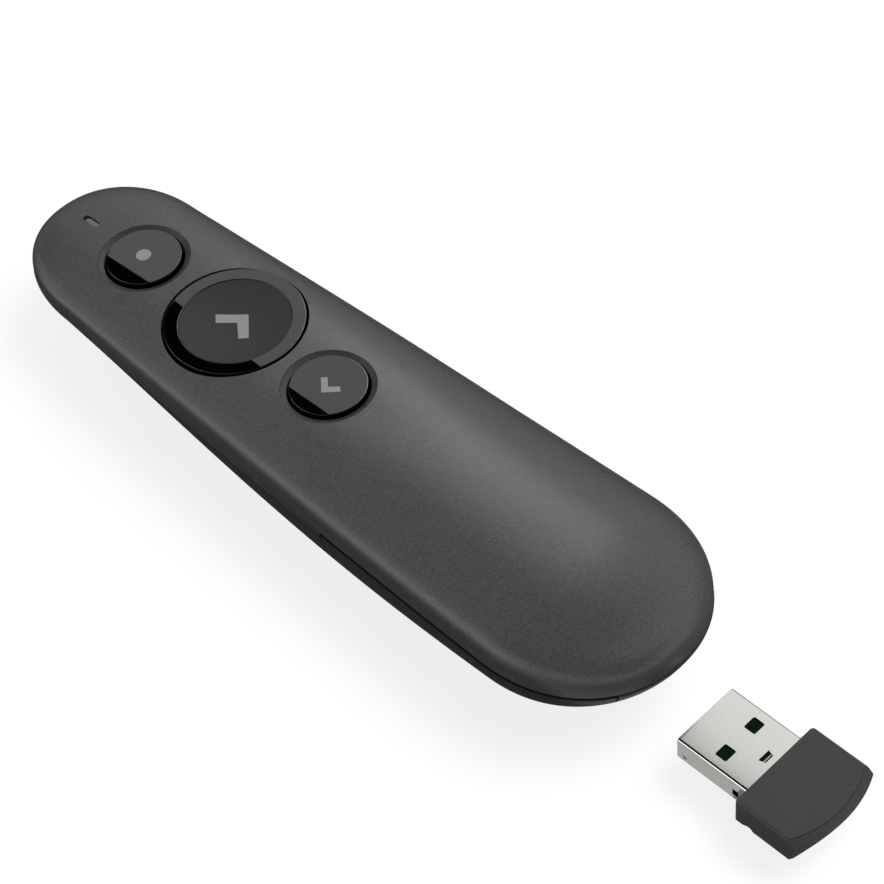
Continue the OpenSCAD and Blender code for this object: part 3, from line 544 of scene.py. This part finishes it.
def cap_edge(radius, top):
    """The margin of a cap's flat top and its round outer edge."""
    return [(radius - CAP_EDGE - FLAT_MARGIN, top),
            *arc(radius - CAP_EDGE, top - CAP_EDGE, CAP_EDGE, 90, 0)]


def small_cap(name, at):
    inner = SMALL_RADIUS - SKIRT
    profile = [(0, PROUD), *cap_edge(SMALL_RADIUS, PROUD),
               (SMALL_RADIUS, SKIRT_FOOT), (inner, SKIRT_FOOT), (inner, CAP_UNDER),
               (PLUNGER, CAP_UNDER), (PLUNGER, STEM_TOP), (0, STEM_TOP)]
    cap = joined(name, [turned(name, profile), tab(SMALL_RADIUS, 0), tab(SMALL_RADIUS, math.pi)])
    return smooth_between(on_deck(cap, at))


laser_cap = small_cap("laser_cap", LASER_AT)
finish_piece(laser_cap, "laser_button", "button_gloss", gloss_black, "laser_button")
back_cap = small_cap("back_cap", BACK_AT)
finish_piece(back_cap, "back_button", "button_gloss", gloss_black, "back_button")

ring_profile = [(0, DISH_FLOOR), (RING_INNER, DISH_FLOOR),
                *arc(RING_INNER + RING_LIP, RING_PROUD - RING_LIP, RING_LIP, 180, 90, 4),
                (RING_INNER + RING_LIP + FLAT_MARGIN, RING_PROUD), *cap_edge(RING_RADIUS, RING_PROUD),
                (RING_RADIUS, SKIRT_FOOT), (RING_RADIUS - SKIRT, SKIRT_FOOT),
                (RING_RADIUS - SKIRT, RING_UNDER), (RING_PLUNGER, RING_UNDER),
                (RING_PLUNGER, STEM_TOP), (0, STEM_TOP)]
next_ring = joined("next_ring", [turned("next_ring", ring_profile), tab(RING_RADIUS, math.pi / 2),
                                 tab(RING_RADIUS, -math.pi / 2)])
smooth_between(on_deck(next_ring, NEXT_AT))
finish_piece(next_ring, "next_button", "button_gloss", gloss_black, "next_button_ring")


# Dish of the next button. A satin moulding, dished so that a thumb finds it, pressed into the
# ring; its rim has a small radius.
DISH_RIM, DISH_STEPS = 0.08, 24


def dish_height(r):
    return DISH_FLOOR + DISH_THICK + DISH_SAG * (r / DISH_RADIUS) ** 2


dish_radii = [DISH_RADIUS * i / DISH_STEPS for i in range(DISH_STEPS)]
dish_profile = [(r, dish_height(r)) for r in dish_radii]
dish_profile += arc(DISH_RADIUS - DISH_RIM, dish_height(DISH_RADIUS) - DISH_RIM, DISH_RIM, 80, 0)
dish_profile += [(DISH_RADIUS, DISH_FLOOR), (0, DISH_FLOOR)]
next_dish = smooth_between(on_deck(turned("next_dish", dish_profile), NEXT_AT))
satin_black = add_grain(new_material("satin_black", (0.0175, 0.0175, 0.0185), 0.55), 0.25, 0.003, 0.05)
finish_piece(next_dish, "next_button", "dish_satin", satin_black, "next_button_dish")


# Marks on the buttons. Light grey print, a few hundredths of a millimetre thick: a dot for the
# laser, a chevron forward and a smaller chevron back.
PRINT_LIFT, PRINT_DEPTH = 0.012, 0.03
DOT_RADIUS, DOT_ASIDE, DOT_AHEAD = 1.24, 0.22, 0.32
NEXT_CHEVRON = [(2.76, 24.89), (-0.66, 28.87), (-1.88, 27.53),
                (0.43, 24.99), (-1.86, 22.24), (-0.74, 21.01)]
BACK_CHEVRON = [(-1.81, 3.19), (0.31, 5.48), (1.00, 4.69),
                (-0.32, 3.25), (0.93, 1.87), (0.24, 1.03)]

print_grey = add_grain(new_material("mark_print", (0.26, 0.26, 0.26), 0.6), 0.25, 0.002, 0.06)


def arm(corners, height, steps=10):
    """One arm of a chevron, a four-cornered patch that follows the face under it."""
    a, b, c, d = [np.array(p, float) for p in corners]
    points, faces, row = [], [], steps + 1
    for lift in (PRINT_LIFT, PRINT_LIFT - PRINT_DEPTH):
        for i in range(row):
            for j in range(row):
                u, v = i / steps, j / steps
                p = (1 - u) * ((1 - v) * a + v * d) + u * ((1 - v) * b + v * c)
                points.append((p[0], p[1], height(p[0], p[1]) + lift))
    layer = row * row
    for i in range(steps):
        for j in range(steps):
            k = i * row + j
            faces += [(k, k + 1, k + row + 1, k + row),
                      (layer + k, layer + k + row, layer + k + row + 1, layer + k + 1)]
    for i in range(steps):
        for k, m in ((i, i + 1), (i * row, (i + 1) * row), (steps * row + i, steps * row + i + 1),
                     (i * row + steps, (i + 1) * row + steps)):
            faces.append((k, m, layer + m, layer + k))
    return weld(mesh_object("arm", points, faces))


def chevron(name, at, corners, height):
    """Corners: the point, then the outer and inner ends of one arm, the crook, and the other arm."""
    point, one_out, one_in, crook, two_in, two_out = [(x, y - at) for x, y in corners]
    arms = [arm((point, one_out, one_in, crook), height), arm((point, crook, two_in, two_out), height)]
    return smooth_between(on_deck(joined(name, arms), at))


dot_top = PROUD + PRINT_LIFT
dot_foot = dot_top - PRINT_DEPTH
dot = turned("laser_dot", [(0, dot_top), (DOT_RADIUS, dot_top), (DOT_RADIUS, dot_foot), (0, dot_foot)])
dot.data.transform(Matrix.Translation((DOT_ASIDE * MM, 0, 0)))
on_deck(dot, LASER_AT + DOT_AHEAD)
finish_piece(smooth_between(dot), "laser_button", "button_gloss", print_grey)
next_mark = chevron("next_mark", NEXT_AT, NEXT_CHEVRON, lambda x, y: dish_height(math.hypot(x, y)))
finish_piece(next_mark, "next_button", "dish_satin", print_grey)
back_mark = chevron("back_mark", BACK_AT, BACK_CHEVRON, lambda x, y: PROUD)
finish_piece(back_mark, "back_button", "button_gloss", print_grey)


# Upper shell. The same graphite plastic with its spark grain, one moulding with four posts for
# the board, two screw bosses and a lip that lines up with the lower shell. The small buttons'
# holes are countersunk, and the next button's has a fine chamfer.
TOP_WALL, INNER_OVERLAP = 1.6, 0.1
BUTTON_GAP = 0.42
SMALL_HOLE, NEXT_HOLE = SMALL_RADIUS + BUTTON_GAP, RING_RADIUS + BUTTON_GAP
SINK_WIDTH, SINK_DEPTH = 1.05, 0.45
SINK_MOUTH = [(0.0, -SINK_DEPTH - 0.1), (0.04, -SINK_DEPTH),
              (SINK_WIDTH - 0.13, -0.15), (SINK_WIDTH + 0.04, 0.10)]
CHAMFER_MOUTH = [(0.0, -0.1), (0.06, 0.05)]
SMALL_FOOT, NEXT_FOOT, HOLE_TOP = -3.0, -6.0, 4.0
# Painted shade: how much of the shell's colour is left in the countersinks and at the next gap.
SINK_SHADE, GAP_SHADE, GAP_REACH, SHADE_EDGE = 0.62, 0.20, 0.04, 0.06
SLOT_FROM, SLOT_TO, SLOT_LEFT, SLOT_RIGHT = 58.17, 61.85, -0.53, 0.66
SLOT_FOOT, SLOT_TOP = 20.5, 30.0


def paint_shade_round(material, places):
    """Paints shade into the finish round upright axes, each with its radius and the share that is left.
    """
    nodes, links = material.node_tree.nodes, material.node_tree.links
    shader = nodes["Principled BSDF"]
    place = nodes.new("ShaderNodeTexCoord")
    flat = nodes.new("ShaderNodeVectorMath")
    flat.operation = "MULTIPLY"
    flat.inputs[1].default_value = (1, 1, 0)
    links.new(place.outputs["Object"], flat.inputs[0])
    level = None
    for at, radius, share in places:
        reach = nodes.new("ShaderNodeVectorMath")
        reach.operation = "DISTANCE"
        reach.inputs[1].default_value = (0, at * MM, 0)
        links.new(flat.outputs[0], reach.inputs[0])
        inside = nodes.new("ShaderNodeMapRange")
        inside.inputs["From Min"].default_value = (radius - SHADE_EDGE) * MM
        inside.inputs["From Max"].default_value = radius * MM
        inside.inputs["To Min"].default_value = share
        links.new(reach.outputs["Value"], inside.inputs["Value"])
        if level is None:
            level = inside.outputs["Result"]
        else:
            least = nodes.new("ShaderNodeMath")
            least.operation = "MINIMUM"
            links.new(level, least.inputs[0])
            links.new(inside.outputs["Result"], least.inputs[1])
            level = least.outputs[0]
    # The colour, grain and all, is scaled down by the painted shade.
    tint = nodes.new("ShaderNodeVectorMath")
    tint.operation = "SCALE"
    links.new(shader.inputs["Base Color"].links[0].from_socket, tint.inputs[0])
    links.new(level, tint.inputs["Scale"])
    links.new(tint.outputs[0], shader.inputs["Base Color"])


upper_plastic = add_grain(new_material("upper_shell_plastic", (0.061, 0.061, 0.062), 0.28, index=1.43),
                          0.34, 0.030, 0.30)
# Painted shade in the small buttons' countersinks and just inside the next button's hole.
paint_shade_round(upper_plastic, [(LASER_AT, SMALL_HOLE + SINK_WIDTH, SINK_SHADE),
                             (BACK_AT, SMALL_HOLE + SINK_WIDTH, SINK_SHADE),
                             (NEXT_AT, NEXT_HOLE + GAP_REACH, GAP_SHADE)])


def cut_hole(shell, at, radius, foot, mouth):
    """A hole square to the deck, and its mouth as points: how much wider, and how high."""
    side = [(radius, foot)] + [(radius + wider, z) for wider, z in mouth]
    profile = [(0, foot), *side, (side[-1][0], HOLE_TOP), (0, HOLE_TOP)]
    shape_with(shell, on_deck(turned("hole", profile), at), "DIFFERENCE")


upper_shell = closed_dome("upper_shell", "crown", 0.0, EDGE_ROUND)
upper_room = closed_dome("upper_room", "crown", TOP_WALL - INNER_OVERLAP, overlap=1.0)
shape_with(upper_shell, upper_room, "DIFFERENCE")
upper_inside = closed_dome("upper_inside", "crown", TOP_WALL / 2, overlap=20.0)
shape_with(upper_shell, inner_parts("top_shell", upper_inside), "UNION")
cut_hole(upper_shell, LASER_AT, SMALL_HOLE, SMALL_FOOT, SINK_MOUTH)
cut_hole(upper_shell, BACK_AT, SMALL_HOLE, SMALL_FOOT, SINK_MOUTH)
cut_hole(upper_shell, NEXT_AT, NEXT_HOLE, NEXT_FOOT, CHAMFER_MOUTH)

slot_middle, slot_half = (SLOT_LEFT + SLOT_RIGHT) / 2, (SLOT_RIGHT - SLOT_LEFT) / 2
slot_ends = (SLOT_FROM + slot_half, SLOT_TO - slot_half)
slot = block("slot", slot_half, *slot_ends, SLOT_FOOT, SLOT_TOP, slot_middle)
slot_post = [(0, SLOT_FOOT), (slot_half, SLOT_FOOT), (slot_half, SLOT_TOP), (0, SLOT_TOP)]
for end in slot_ends:
    post = turned("slot_end", slot_post, 32)
    post.data.transform(Matrix.Translation((slot_middle * MM, end * MM, 0)))
    shape_with(slot, post, "UNION")
shape_with(upper_shell, slot, "DIFFERENCE")
cut_laser_bores(upper_shell)
smooth_between(upper_shell)
finish_piece(upper_shell, "housing", "upper_shell", upper_plastic, "top_shell")


# Screws. Zinc-plated steel with a cross recess: four hold the board to the upper shell, and two
# under the door hold the shells together.
zinc = add_grain(new_material("zinc_plate", (0.42, 0.42, 0.43), 0.34, 1.0), 0.4, 0.004, 0.08)
dress("board_screws", zinc)
dress("housing_screws", zinc)


# Battery door. A thin moulding that makes the tail half of the underside: a tongue reaches
# forward under the cells, hooks ride over ledges, and grooves give the thumb a grip.
DOOR_WALL, RUN_GAP, DOOR_SLIDE, SEAM_TRIM = 1.5, 0.3, 6.0, 2.0
GROOVES, GROOVE_FROM, GROOVE_PITCH, GROOVE_HALF, GROOVE_DEPTH = 6, -34.0, 2.0, 5.5, 0.4

door = hull_solid("door", -SEAM_STEP, EDGE_ROUND)
shape_with(door, hull_solid("door_room", DOOR_WALL, overlap=1.0), "DIFFERENCE")
reach = block("reach", FAR, -FAR, DOOR_FRONT - FIT_GAP / 2, FAR_BELOW, FAR_ABOVE)
door_tongue = block("tongue", TONGUE_HALF - FIT_GAP / 2, -FAR, TONGUE_FRONT - FIT_GAP / 2,
                    FAR_BELOW, LEDGE)
shape_with(door, shape_with(reach, door_tongue, "UNION"), "INTERSECT")
notch = block("notch", BLOCK_HALF + RUN_GAP, -FAR, BAY_REAR_WALL + BAY_WALL + RUN_GAP + DOOR_SLIDE,
              BLOCK_UNDER - RUN_GAP, FAR_ABOVE)
shape_with(door, notch, "DIFFERENCE")
for i in range(GROOVES):
    y = GROOVE_FROM + GROOVE_PITCH * i
    groove = block("groove", GROOVE_HALF, y, y + GROOVE_PITCH / 2, BELOW, GROOVE_DEPTH)
    shape_with(door, groove, "DIFFERENCE")
shape_with(door, closed_dome("seam_cut", "crown", -SEAM_TRIM, overlap=RUN_GAP), "DIFFERENCE")
door_inside = hull_solid("door_inside", DOOR_WALL / 2, overlap=3.0)
shape_with(door, inner_parts("battery_door", door_inside), "UNION")
smooth_between(door)
finish_piece(door, "battery_door", "door", lower_plastic, "battery_door")


# Receiver cap. Graphite plastic over the rear of the plug: straight front and sides, a bowed
# rear with a fine line and a falling band, grip notches in the sides and a scoop for a nail.
PLUG_TIP, CAP_FRONT, CAP_APEX = -72.6, -85.4, -98.5
CAP_HALF, CAP_BOW = CAP_WIDTH / 2, 19.96
CAP_TOP, CAP_OVER = CAP_UNDERSIDE + CAP_THICK, 20.0
BOW_CENTRE = CAP_APEX + CAP_BOW
FRONT_CORNER, REAR_CORNER, TOP_EDGE = 0.62, 0.5, 0.5
LINE_BOW, LINE_CENTRE, LINE_DEPTH = 16.5, -80.85, 0.16
BAND_FALL, BAND_SLOPE = 1.0, 0.87
REAR_LEAN = 0.29
BELLY, BELLY_ANGLE, SIDE_LOW = 31.0, 15.6, 7.09
SCOOP_HEIGHT, SCOOP_LEAN = 2.9, 30.0
GRIP_DEPTH = 1.6
GRIP = [(-86.3, 5), (-86.3, 6.6), (-86.7, 7.09), (-87.3, 7.36), (-87.8, 7.62), (-88.2, 7.68),
        (-88.55, 7.62), (-88.75, 7.40), (-88.95, 7.09), (-89.15, 6.6), (-89.15, 5)]
PLUG_HALF, PLUG_LOW, PLUG_HIGH, PLUG_END, PLUG_FIT = 6.0, 6.9, 11.4, -91.4, 0.05
FINE_SIDES = 240


def cap_outline(inset):
    """Seen from above: round front corners, straight sides and the bowed rear."""
    side = CAP_HALF - REAR_CORNER
    corner_y = BOW_CENTRE - math.sqrt((CAP_BOW - REAR_CORNER) ** 2 - side ** 2)
    lean = math.degrees(math.atan2(BOW_CENTRE - corner_y, side))
    front_x, front_y = CAP_HALF - FRONT_CORNER, CAP_FRONT - FRONT_CORNER
    return (arc(front_x, front_y, FRONT_CORNER - inset, 0, 90)
            + arc(-front_x, front_y, FRONT_CORNER - inset, 90, 180)
            + arc(-side, corner_y, REAR_CORNER - inset, 180, 180 + lean, 5)
            + arc(0, BOW_CENTRE, CAP_BOW - inset, 180 + lean + 1, 359 - lean, 40)
            + arc(side, corner_y, REAR_CORNER - inset, 360 - lean, 360, 5))


def raised(outline_points, z):
    return [(x, y, z) for x, y in outline_points]


def plate(name, outline_points, z0, z1):
    return stacked(name, [raised(outline_points, z0), raised(outline_points, z1)])


def along_x(name, profile, x0, x1):
    """A prism across the body from points of y and z."""
    return stacked(name, [[(x, y, z) for y, z in profile] for x in (x0, x1)])


def turned_about(name, centre, profile):
    """A fine lathe form about an upright axis on the body's middle line."""
    made = turned(name, profile, FINE_SIDES)
    made.data.transform(Matrix.Translation((0, centre * MM, 0)))
    return made


cap_rings = [raised(cap_outline(0), CAP_UNDERSIDE - 0.5)]
for degrees in range(90, -1, -15):
    a = math.radians(degrees)
    top_ring = cap_outline(TOP_EDGE * (1 - math.sin(a)))
    cap_rings.append(raised(top_ring, CAP_TOP - TOP_EDGE * (1 - math.cos(a))))
receiver_cap = stacked("receiver_cap_moulding", cap_rings)

# What is cut from the top: the line, and behind it the band that falls to the rear. Points are
# the distance out from the line's bow and the height over the cap's top.
line_cut = [(-LINE_BOW, 0.2), (-0.06, 0.2), (-0.06, -LINE_DEPTH), (0.08, -LINE_DEPTH), (0.12, -0.10),
            (4, -4 * BAND_SLOPE), (4, 2), (-LINE_BOW, 2)]
line_cut = [(LINE_BOW + out, CAP_TOP + up) for out, up in line_cut]
shape_with(receiver_cap, turned_about("line", LINE_CENTRE, line_cut), "DIFFERENCE")

# What is kept at the rear: a face that leans, under the band's soft edge. Points are the
# distance out from the cap's bow and the height over that edge.
edge_z = CAP_TOP - BAND_FALL
rear_keep = [(-CAP_BOW, -edge_z), (-REAR_LEAN * edge_z, -edge_z), (-0.06 - REAR_LEAN * 0.25, -0.25),
             (-0.05, -0.06), (-0.16, 0.10), (-4, 3.5),
             (-4, CAP_OVER - edge_z), (-CAP_BOW, CAP_OVER - edge_z)]
rear_keep = [(CAP_BOW + out, edge_z + up) for out, up in rear_keep]
shape_with(receiver_cap, turned_about("rear", BOW_CENTRE, rear_keep), "INTERSECT")

# The bowed underside, with a small radius where it meets the sides.
side_x = CAP_HALF + 0.02
loaf = arc(0, CAP_UNDERSIDE + BELLY, BELLY, 270 - BELLY_ANGLE, 270 + BELLY_ANGLE, 30)
loaf += [(side_x - 0.06, SIDE_LOW + 0.03), (side_x, SIDE_LOW + 0.2), (side_x, CAP_OVER),
         (-side_x, CAP_OVER), (-side_x, SIDE_LOW + 0.2), (0.06 - side_x, SIDE_LOW + 0.03)]
loaf_ends = [[(x, y, z) for x, z in loaf] for y in (-110, -80)]
shape_with(receiver_cap, stacked("loaf", loaf_ends), "INTERSECT")

scoop = rod("scoop", CAP_HALF, -4, 13, 0, 120)
scoop.data.transform(Matrix.Translation((0, CAP_APEX * MM, SIDE_LOW * MM))
                     @ Matrix.Rotation(-math.radians(SCOOP_LEAN), 4, "X")
                     @ Matrix.Scale(SCOOP_HEIGHT / CAP_HALF, 4, (0, 0, 1)))
shape_with(receiver_cap, scoop, "DIFFERENCE")
for side in (-1, 1):
    grip_tool = along_x("grip", GRIP, side * (CAP_HALF - GRIP_DEPTH), side * CAP_OVER)
    shape_with(receiver_cap, grip_tool, "DIFFERENCE")
plug_way = block("plug_way", PLUG_HALF + PLUG_FIT, PLUG_END - PLUG_FIT, -80,
                 PLUG_LOW - PLUG_FIT, PLUG_HIGH + PLUG_FIT)
shape_with(receiver_cap, plug_way, "DIFFERENCE")
smooth_between(receiver_cap)
cap_plastic = add_grain(new_material("receiver_plastic", (0.045, 0.045, 0.046), 0.45, index=1.36),
                        0.30, 0.024, 0.25)
finish_piece(receiver_cap, "receiver", "receiver_plastic", cap_plastic, "receiver_cap")


# Plug sleeve. Bright steel folded round the contact tongue, with two windows above and below, a
# tongue stamped in near the cap, a dimple and a notch in its side.
SLEEVE_WALL, SLEEVE_CORNER, MOUTH_ROUND = 0.3, 0.42, 0.06
LATCH_ASIDE, LATCH_AT, LATCH_WIDTH, LATCH_LENGTH, LATCH_CORNER = 3.1, -79.2, 2.35, 2.05, 0.28
STAMPING = [(-0.98, -83.42), (1.30, -83.42), (0.98, -84.50), (-0.66, -84.50)]
DIMPLE = [(0, 0), (0.18, 0), (0.18, 0.22), (0.46, 0.22), (0.46, -0.1), (0, -0.1)]
DIMPLE_AT, DIMPLE_HEIGHT = -74.1, 8.35


def round_box(x, y, half, reach, radius, steps=6):
    """A rectangle with round corners, from its middle and half its sides."""
    half, reach = half - radius, reach - radius
    return (arc(x + half, y + reach, radius, 0, 90, steps)
            + arc(x - half, y + reach, radius, 90, 180, steps)
            + arc(x - half, y - reach, radius, 180, 270, steps)
            + arc(x + half, y - reach, radius, 270, 360, steps))


def sleeve_ring(inset, y):
    middle, reach = (PLUG_LOW + PLUG_HIGH) / 2, (PLUG_HIGH - PLUG_LOW) / 2
    flat = round_box(0, middle, PLUG_HALF - inset, reach - inset, SLEEVE_CORNER - inset)
    return [(x, y, z) for x, z in flat]


def sleeve_tube(name):
    """The folded tube with its wall, and a mouth that is rounded outside and inside."""
    stations = [(0, PLUG_END), (0, PLUG_TIP - MOUTH_ROUND), (0.03, PLUG_TIP - 0.015),
                (0.08, PLUG_TIP), (SLEEVE_WALL - 0.05, PLUG_TIP),
                (SLEEVE_WALL, PLUG_TIP - MOUTH_ROUND), (SLEEVE_WALL, PLUG_END)]
    rings = [sleeve_ring(inset, y) for inset, y in stations]
    points = [p for ring in rings for p in ring]
    return weld(mesh_object(name, points, ring_faces(len(rings[0]), len(rings), closed=True)))


sleeve = sleeve_tube("plug_sleeve")
for x in (-LATCH_ASIDE, LATCH_ASIDE):
    latch = round_box(x, LATCH_AT, LATCH_WIDTH / 2, LATCH_LENGTH / 2, LATCH_CORNER, 4)
    shape_with(sleeve, plate("latch_window", latch, 5, 13), "DIFFERENCE")
shape_with(sleeve, plate("stamping", STAMPING, 10.6, 12), "DIFFERENCE")
shape_with(sleeve, block("side_notch", 0.7, -84.1, -83.0, 8.1, 9.4, middle=-6.3), "DIFFERENCE")
dimple = turned("dimple", DIMPLE, 32)
dimple.data.transform(Matrix.Translation((-PLUG_HALF * MM, DIMPLE_AT * MM, DIMPLE_HEIGHT * MM))
                      @ Matrix.Rotation(-math.pi / 2, 4, "Y"))
shape_with(sleeve, dimple, "DIFFERENCE")
tongue = stacked("stamped_tongue", [
    [(-0.94, -83.50, 10.86), (1.26, -83.50, 10.86), (1.26, -83.50, 10.68), (-0.94, -83.50, 10.68)],
    [(-0.64, -84.52, 11.38), (0.96, -84.52, 11.38), (0.96, -84.52, 11.14), (-0.64, -84.52, 11.14)]])
sleeve = smooth_between(joined("plug_sleeve_steel", [sleeve, tongue]))
steel = add_grain(new_material("bright_steel", (0.69, 0.69, 0.66), 0.10, 1.0), 0.5, 0.0015, 0.03)
finish_piece(sleeve, "receiver", "plug_steel", steel, "receiver_sleeve")


# Contact tongue of the plug. It is the end of the receiver's board, under a dark mask, with four
# gold-plated contacts on it.
dark_mask = new_material("receiver_mask", (0.0025, 0.009, 0.005), 0.5, index=1.12)
dress("receiver_board", add_grain(dark_mask, 0.9, 0.004, 0.5))
gold = add_grain(new_material("gold_plate", (0.72, 0.47, 0.16), 0.24, 1.0), 0.4, 0.002, 0.05)
dress("receiver_contacts", gold)


# Floor. A plain pale sheet that keeps a soft shadow of the clicker.
FLOOR_REACH, FLOOR_HEIGHT = 4000, -0.05


def rectangle(x0, x1, y0, y1):
    return [(x0, y0), (x1, y0), (x1, y1), (x0, y1)]


def soft_white(tree, plain, shown):
    """Mixes a plain surface with the white that cameras and reflections see."""
    nodes, links = tree.nodes, tree.links
    path = nodes.new("ShaderNodeLightPath")
    first = nodes.new("ShaderNodeMath")
    first.operation = "MAXIMUM"
    links.new(path.outputs["Is Camera Ray"], first.inputs[0])
    links.new(path.outputs["Is Glossy Ray"], first.inputs[1])
    seen = nodes.new("ShaderNodeMath")
    seen.operation = "MAXIMUM"
    links.new(first.outputs[0], seen.inputs[0])
    links.new(path.outputs["Is Transmission Ray"], seen.inputs[1])
    mix = nodes.new("ShaderNodeMixShader")
    links.new(seen.outputs[0], mix.inputs["Fac"])
    links.new(plain, mix.inputs[1])
    links.new(shown, mix.inputs[2])
    return mix.outputs[0]


floor_outline = rectangle(-FLOOR_REACH, FLOOR_REACH, -FLOOR_REACH, FLOOR_REACH)
floor = mesh_object("floor", raised(floor_outline, FLOOR_HEIGHT), [(0, 1, 2, 3)])
paper = bpy.data.materials.new("pale_paper")
paper.use_nodes = True
tree = paper.node_tree
tree.nodes.clear()
pale = tree.nodes.new("ShaderNodeBsdfDiffuse")
pale.inputs["Color"].default_value = (0.55, 0.55, 0.55, 1)
shade = tree.nodes.new("ShaderNodeBsdfDiffuse")
shade.inputs["Color"].default_value = (0.22, 0.22, 0.22, 1)
glow = tree.nodes.new("ShaderNodeEmission")
glow.inputs["Strength"].default_value = 0.82
both = tree.nodes.new("ShaderNodeAddShader")
tree.links.new(shade.outputs[0], both.inputs[0])
tree.links.new(glow.outputs[0], both.inputs[1])
output = tree.nodes.new("ShaderNodeOutputMaterial")
tree.links.new(soft_white(tree, pale.outputs[0], both.outputs[0]), output.inputs["Surface"])
floor.data.materials.append(paper)


# Cards. They show only in the clicker's gloss: a dark one hangs over its left half and makes the
# straight edge across the button caps, pale ones light the nose's shoulder, and the ones that lie
# and stand round the clicker set the tone of its flanks. The darkest of these, beside the left
# flank, is a painted shadow of the clicker on the floor.
HUNG_HEIGHT, LYING_HEIGHT = 600, -0.04
HUNG_OUTLINE = [(-800, -2200), (277, -2200), (281, 400), (309.6, 430), (310.2, 490), (311.1, 507),
                (314.6, 569), (313.8, 614), (364, 2200), (-800, 2200)]
WALL_BANDS = (("low", 0, 260, 0.10), ("middle", 260, 600, 0.38), ("high", 600, 900, 0.62))


def card(name, corners, level):
    sheet = mesh_object(name, corners, [tuple(range(len(corners)))])
    paint = bpy.data.materials.new(name)
    paint.use_nodes = True
    paint.node_tree.nodes.clear()
    plain = paint.node_tree.nodes.new("ShaderNodeEmission")
    plain.inputs["Strength"].default_value = level
    shown = paint.node_tree.nodes.new("ShaderNodeOutputMaterial")
    paint.node_tree.links.new(plain.outputs[0], shown.inputs["Surface"])
    sheet.data.materials.append(paint)
    for way in ("visible_camera", "visible_diffuse", "visible_shadow", "visible_transmission"):
        setattr(sheet, way, False)


def wall_cards(name, x0, y0, x1, y1):
    """A wall round the far side: dark near the floor and grey above."""
    for part, low, high, level in WALL_BANDS:
        card(name + "_" + part, [(x0, y0, low), (x1, y1, low), (x1, y1, high), (x0, y0, high)], level)


card("hung_card", raised(HUNG_OUTLINE, HUNG_HEIGHT), 0.0)
for name, x0, x1, y0, y1, height, level in (
        ("grey_card", -800, 160, 330, 720, 590, 0.60),
        ("glow_card", -1600, -150, 590, 1700, 580, 1.4),
        ("left_card", -500, -75, -500, 500, LYING_HEIGHT, 0.50),
        # A dark sheet beside the left flank: a painted shadow of the clicker on the floor, seen in its
        # gloss.
        ("floor_shadow_card", -75, 5, -62, 500, LYING_HEIGHT, 0.06),
        ("plug_card", -75, 5, -80, -62, LYING_HEIGHT, 0.50),
        ("near_card", -75, 3000, -500, -80, LYING_HEIGHT, 0.20),
        ("right_card", 5, 3000, -80, 3000, LYING_HEIGHT, 0.10)):
    card(name, raised(rectangle(x0, x1, y0, y1), height), level)
wall_cards("right_wall", 1500, -1500, 1500, 1500)
wall_cards("far_wall", -1500, 1500, 1500, 1500)


# Lamps and surroundings. A key lamp high over the tail, a small one for the sheen, a wide one
# low on the left and a dim even world light the clicker; cameras and reflections see the world
# as white.
def soft_lamp(name, place, width, height, level):
    """A lamp aimed at the clicker, which lights it to a share of the plain level."""
    light = bpy.data.lights.new(name, "AREA")
    light.shape = "RECTANGLE"
    light.size = width
    light.size_y = height
    place = Vector(place)
    light.energy = level * math.pi ** 2 * place.length_squared
    lamp = bpy.data.objects.new(name, light)
    lamp.location = place
    lamp.rotation_euler = (-place).to_track_quat("-Z", "Y").to_euler()
    bpy.context.scene.collection.objects.link(lamp)
    return lamp


key_lamp = soft_lamp("key_lamp", (0.20, -0.35, 0.90), 0.5, 0.5, 0.75)
key_lamp.visible_glossy = False
soft_lamp("sheen_lamp", (0.50, 0.50, 0.725), 0.15, 0.17, 0.056)
soft_lamp("rim_lamp", (-1.10, 0.78, 0.25), 1.6, 0.60, 0.18)

world = bpy.data.worlds.new("studio")
world.use_nodes = True
bpy.context.scene.world = world
tree = world.node_tree
dim = tree.nodes["Background"]
dim.inputs["Color"].default_value = (1, 1, 1, 1)
dim.inputs["Strength"].default_value = 0.25
white = tree.nodes.new("ShaderNodeBackground")
white.inputs["Color"].default_value = (1, 1, 1, 1)
white.inputs["Strength"].default_value = 1.0
mixed = soft_white(tree, dim.outputs[0], white.outputs[0])
tree.links.new(mixed, tree.nodes["World Output"].inputs["Surface"])
bpy.context.scene.view_settings.view_transform = "Standard"


# Camera. A long lens looks down on the clicker from its left, beyond its tail.
camera_data = bpy.data.cameras.new("camera")
camera_data.sensor_width = 36
camera_data.lens = 113.7065
camera = bpy.data.objects.new("camera", camera_data)
right = Vector((0.70162515, -0.70898854, -0.07111536))
up = Vector((0.57778665, 0.50768294, 0.63907794))
place = Matrix.Translation((-0.170512, -0.221729, 0.344751))
camera.matrix_world = place @ Matrix((right, up, right.cross(up))).transposed().to_4x4()
bpy.context.scene.collection.objects.link(camera)
bpy.context.scene.camera = camera
